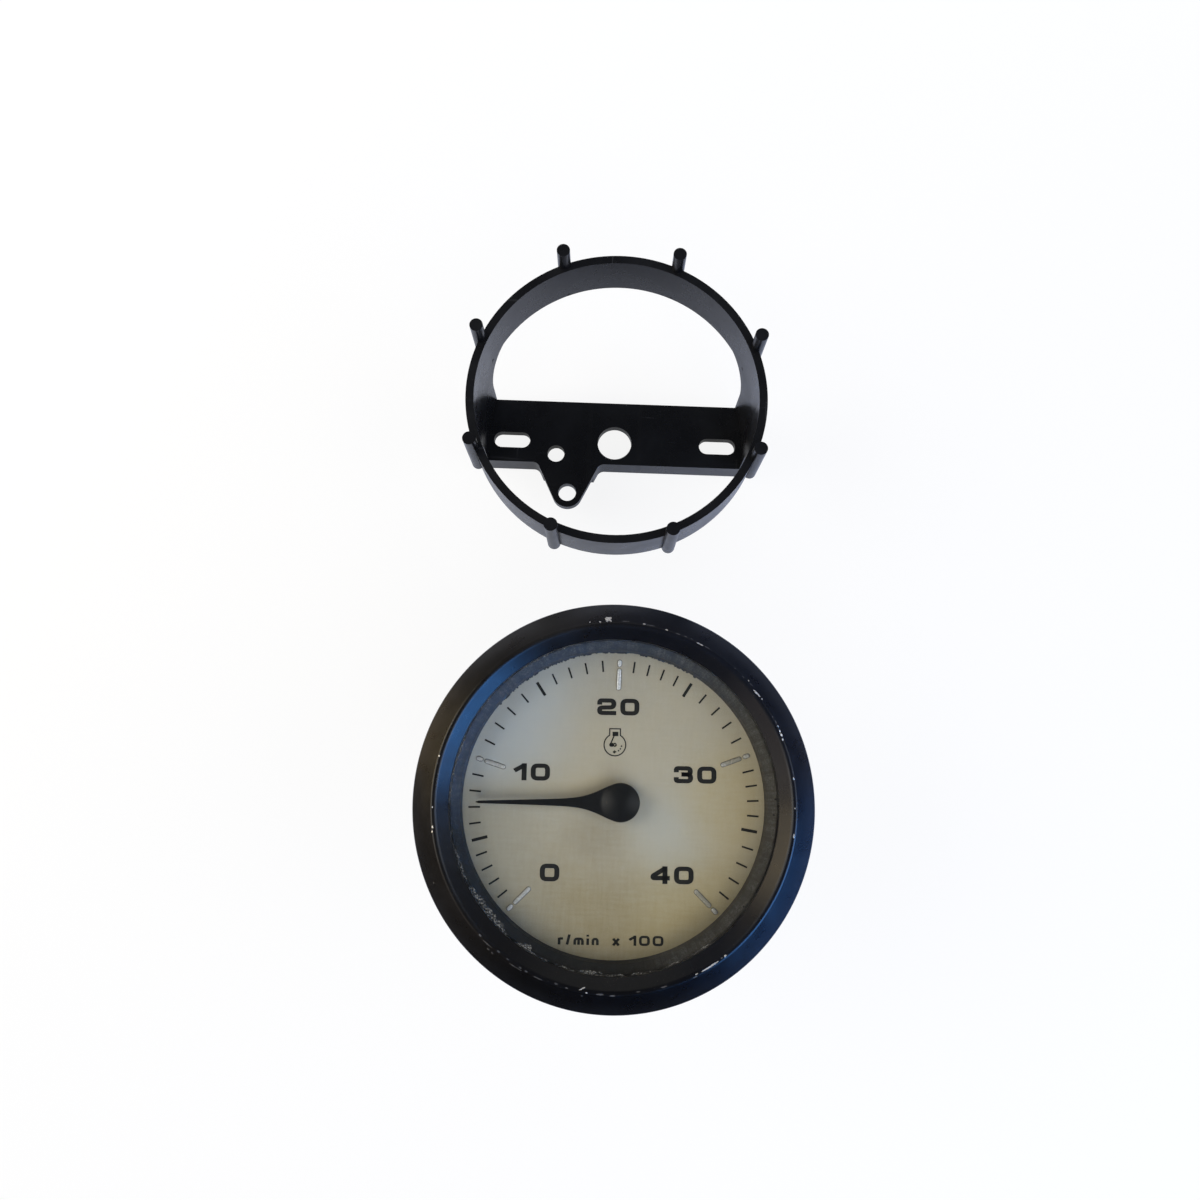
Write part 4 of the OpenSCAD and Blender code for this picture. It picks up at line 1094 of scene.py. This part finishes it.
# Marks on the inner side of the bracket ring, one under each of the four far pegs
NOTCH_ANGLES = (22.5, 67.5, 112.5, 157.5)
NOTCH_W = 1.5
NOTCH_H = 1.3
RING_R = 42
RING_BACK = 35.5


def make_notches():
    """Small dark moulding marks at the back edge of the ring."""
    verts = []
    faces = []
    for angle in NOTCH_ANGLES:
        start = len(verts)
        a = radians(angle)
        half = NOTCH_W / 2 / RING_R
        r = RING_R - 0.02
        for turn, z in ((-half, 0.05), (half, 0.05), (half * 0.25, NOTCH_H), (-half * 0.25, NOTCH_H)):
            x = BRACKET_X + r * cos(a + turn)
            y = BRACKET_Y + r * sin(a + turn)
            verts.append(Vector((x, y, RING_BACK + z)) * MM)
        faces.append(tuple(range(start, start + 4)))
    piece_from("ring_moulding_marks", (verts, faces), INK, "mounting_bracket")


# Floor, light and camera

# Share of white light that the floor adds for the camera, and near the object in gloss
FLOOR_GLOW = 0.88
GLOSS_GLOW = 0.28
FLOOR_SIZE = 6
FLOOR_Z = -0.0002
# Distances between which the pale part of the floor fades
SHEET_NEAR = 0.12
SHEET_FAR = 0.25


def stage_sheet(name, corners, material):
    """A flat sheet of the stage."""
    mesh = bpy.data.meshes.new(name)
    mesh.from_pydata(corners, [], [(0, 1, 2, 3)])
    mesh.materials.append(material)
    obj = new_object(name, mesh)
    return obj


def make_floor():
    """Floor with the object's shadow: white to the camera, pale in gloss and glass, open from below."""
    n = Nodes("white_floor")
    path = n.add("ShaderNodeLightPath")
    camera = path.outputs["Is Camera Ray"]
    direct = n.math("MAXIMUM", camera, path.outputs["Is Transmission Ray"])
    length = n.add("ShaderNodeVectorMath", operation="LENGTH")
    n.link(n.place, length.inputs[0])
    near = n.ease(length.outputs["Value"], SHEET_NEAR, SHEET_FAR, 1, 0)
    glossy = n.times(n.times(path.outputs["Is Glossy Ray"], GLOSS_GLOW), near)
    tone = n.blend(near, (0.032, 0.033, 0.038), (0.55, 0.61, 0.78))
    bright = n.blend(n.span(n.noise(4, 3, 0.5), 0.3, 0.7), (0.88, 0.88, 0.88), (0.91, 0.91, 0.91))
    cloth = n.add("ShaderNodeBsdfDiffuse")
    n.link(n.blend(direct, tone, bright), cloth.inputs["Color"])
    glow = n.math("MAXIMUM", n.times(direct, FLOOR_GLOW), glossy)
    lit = n.layer(glow, cloth, n.add("ShaderNodeEmission"))
    under = n.times(n.add("ShaderNodeNewGeometry").outputs["Backfacing"], camera)
    half = FLOOR_SIZE / 2
    corners = [(-half, -half, 0), (half, -half, 0), (half, half, 0), (-half, half, 0)]
    material = n.surface(n.layer(under, lit, n.add("ShaderNodeBsdfTransparent")))
    stage_sheet("floor", corners, material).location.z = FLOOR_Z


# Dark card in front of the object, which only gloss shows
CARD_W = 0.5
CARD_H = 0.2
CARD_Y = -0.36


def make_card():
    """Dark card that keeps the front slope of the bezel dark, as in the photograph."""
    card = plain("dark_card", (0.01, 0.01, 0.011), (0.014, 0.014, 0.015), 0.8, 200, 0.1)
    half = CARD_W / 2
    corners = [(-half, CARD_Y, 0), (half, CARD_Y, 0), (half, CARD_Y, CARD_H), (-half, CARD_Y, CARD_H)]
    obj = stage_sheet("dark_card", corners, card)
    obj.visible_camera = False
    obj.visible_diffuse = False
    obj.visible_transmission = False
    obj.visible_shadow = False


# Soft lamps: name, place in metres, width, height, colour, radiance and the rays that see them
LAMPS = (
    ("key_front", (0.1, -0.85, 1.15), 1.1, 0.8, (1, 0.99, 0.97), 3, "diffuse"),
    ("key_left", (-1.15, 0.05, 0.95), 1.1, 0.9, (1, 0.98, 0.94), 3.4, "both"),
    ("key_right", (1.15, -0.1, 0.95), 1.1, 0.9, (0.96, 0.98, 1), 2.5, "both"),
    ("cool_right", (0.34, -0.26, 0.17), 0.42, 0.34, (0.13, 0.38, 1), 2.8, "diffuse"),
    ("blue_window", (0.33, -0.24, 0.17), 0.34, 0.2, (0.085, 0.36, 1), 12, "gloss"),
    ("blue_band", (0.27, -0.2, 0.29), 0.3, 0.1, (0.13, 0.4, 1), 12, "gloss"),
    ("warm_left", (-0.4, 0.13, 0.17), 0.5, 0.34, (1, 0.8, 0.42), 1.5, "diffuse"),
    ("warm_window", (-0.42, 0.05, 0.17), 0.25, 0.24, (1, 0.78, 0.44), 3.6, "gloss"),
    ("side_window", (-0.37, -0.23, 0.2), 0.3, 0.22, (1, 0.82, 0.7), 1.1, "gloss"),
    ("cool_back", (0.05, 0.44, 0.16), 0.6, 0.3, (0.5, 0.62, 1), 2.2, "diffuse"),
    ("back_window", (0, 0.44, 0.2), 0.5, 0.24, (1, 0.98, 0.88), 0.5, "gloss"),
    ("blue_sheet", (0.25, -0.15, 0.002), 0.26, 0.22, (0.06, 0.3, 1), 0.5, "gloss"),
    ("warm_sheet", (-0.23, 0.02, 0.002), 0.18, 0.1, (1, 0.7, 0.32), 0.7, "gloss"),
)
# Height in metres under which a lamp lies flat and shines upwards
FLAT_UNDER = 0.01
LAMP_AIM = (0, 0, 0.05)
# Windows that only the front of the gauge shows in its gloss
FRONT_WINDOWS = ("blue_window", "blue_band")
FRONT_PIECES = ("bezel_shell", "paint_chips", "paint_scuffs", "mask_ring", "dial", "mask_crumbs")
# Sky at the horizon and overhead, as light and as the camera sees it, and how high its tone changes
SKY_TOP = 0.7
SKY_TONES = ((0.15, 0.155, 0.17), (0.06, 0.063, 0.07))
BACKDROP_TONES = ((0.84, 0.85, 0.87), (0.55, 0.57, 0.61))


def make_lamps():
    """Large soft lamps round the object."""
    for name, place, width, height, color, radiance, rays in LAMPS:
        lamp = bpy.data.lights.new(name, "AREA")
        lamp.shape = "RECTANGLE"
        lamp.size = width
        lamp.size_y = height
        lamp.color = color
        lamp.energy = radiance * pi * width * height
        obj = new_object(name, lamp)
        obj.location = place
        obj.visible_camera = False
        obj.visible_diffuse = rays != "gloss"
        obj.visible_glossy = rays != "diffuse"
        aim = Vector((0, 0, 1)) if place[2] < FLAT_UNDER else Vector(LAMP_AIM) - Vector(place)
        obj.rotation_euler = aim.to_track_quat("-Z", "Y").to_euler()


def make_sky():
    """Grey sky that is paler at the horizon, and a pale backdrop that only the camera sees."""
    n = Nodes("soft_sky", world=True)
    height = n.span(n.axes()[2], 0, SKY_TOP)
    camera = n.add("ShaderNodeLightPath").outputs["Is Camera Ray"]
    sky = n.add("ShaderNodeBackground")
    n.set(sky.inputs["Color"], n.blend(camera, n.blend(height, *SKY_TONES), n.blend(height, *BACKDROP_TONES)))
    scene.world = n.surface(sky)


def link_windows():
    """Keeps the bright side windows off the lens, the case and the bracket."""
    front = bpy.data.collections.new("front_of_gauge")
    for name in FRONT_PIECES:
        front.objects.link(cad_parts.get(name) or bpy.data.objects[name])
    for name in FRONT_WINDOWS:
        bpy.data.objects[name].light_linking.receiver_collection = front


def make_camera():
    """Camera at the photograph's place, angle and lens."""
    data = bpy.data.cameras.new("photo_camera")
    data.lens = CAMERA_LENS
    data.sensor_width = 36
    data.clip_start = 0.01
    camera = new_object("photo_camera", data)
    place = Matrix.Translation(Vector(CAMERA_PLACE) * MM)
    for angle, axis in zip(CAMERA_TURNS, "XYZ"):
        place = place @ Matrix.Rotation(radians(angle), 4, axis)
    camera.matrix_world = place
    scene.camera = camera


make_camera()
make_floor()
make_card()
make_lamps()
make_sky()
dress_nodes()
make_chips(make_bezel())
make_joint()
make_print()
make_marks()
make_pointer()
make_notches()
link_windows()

scene.view_settings.view_transform = "Standard"
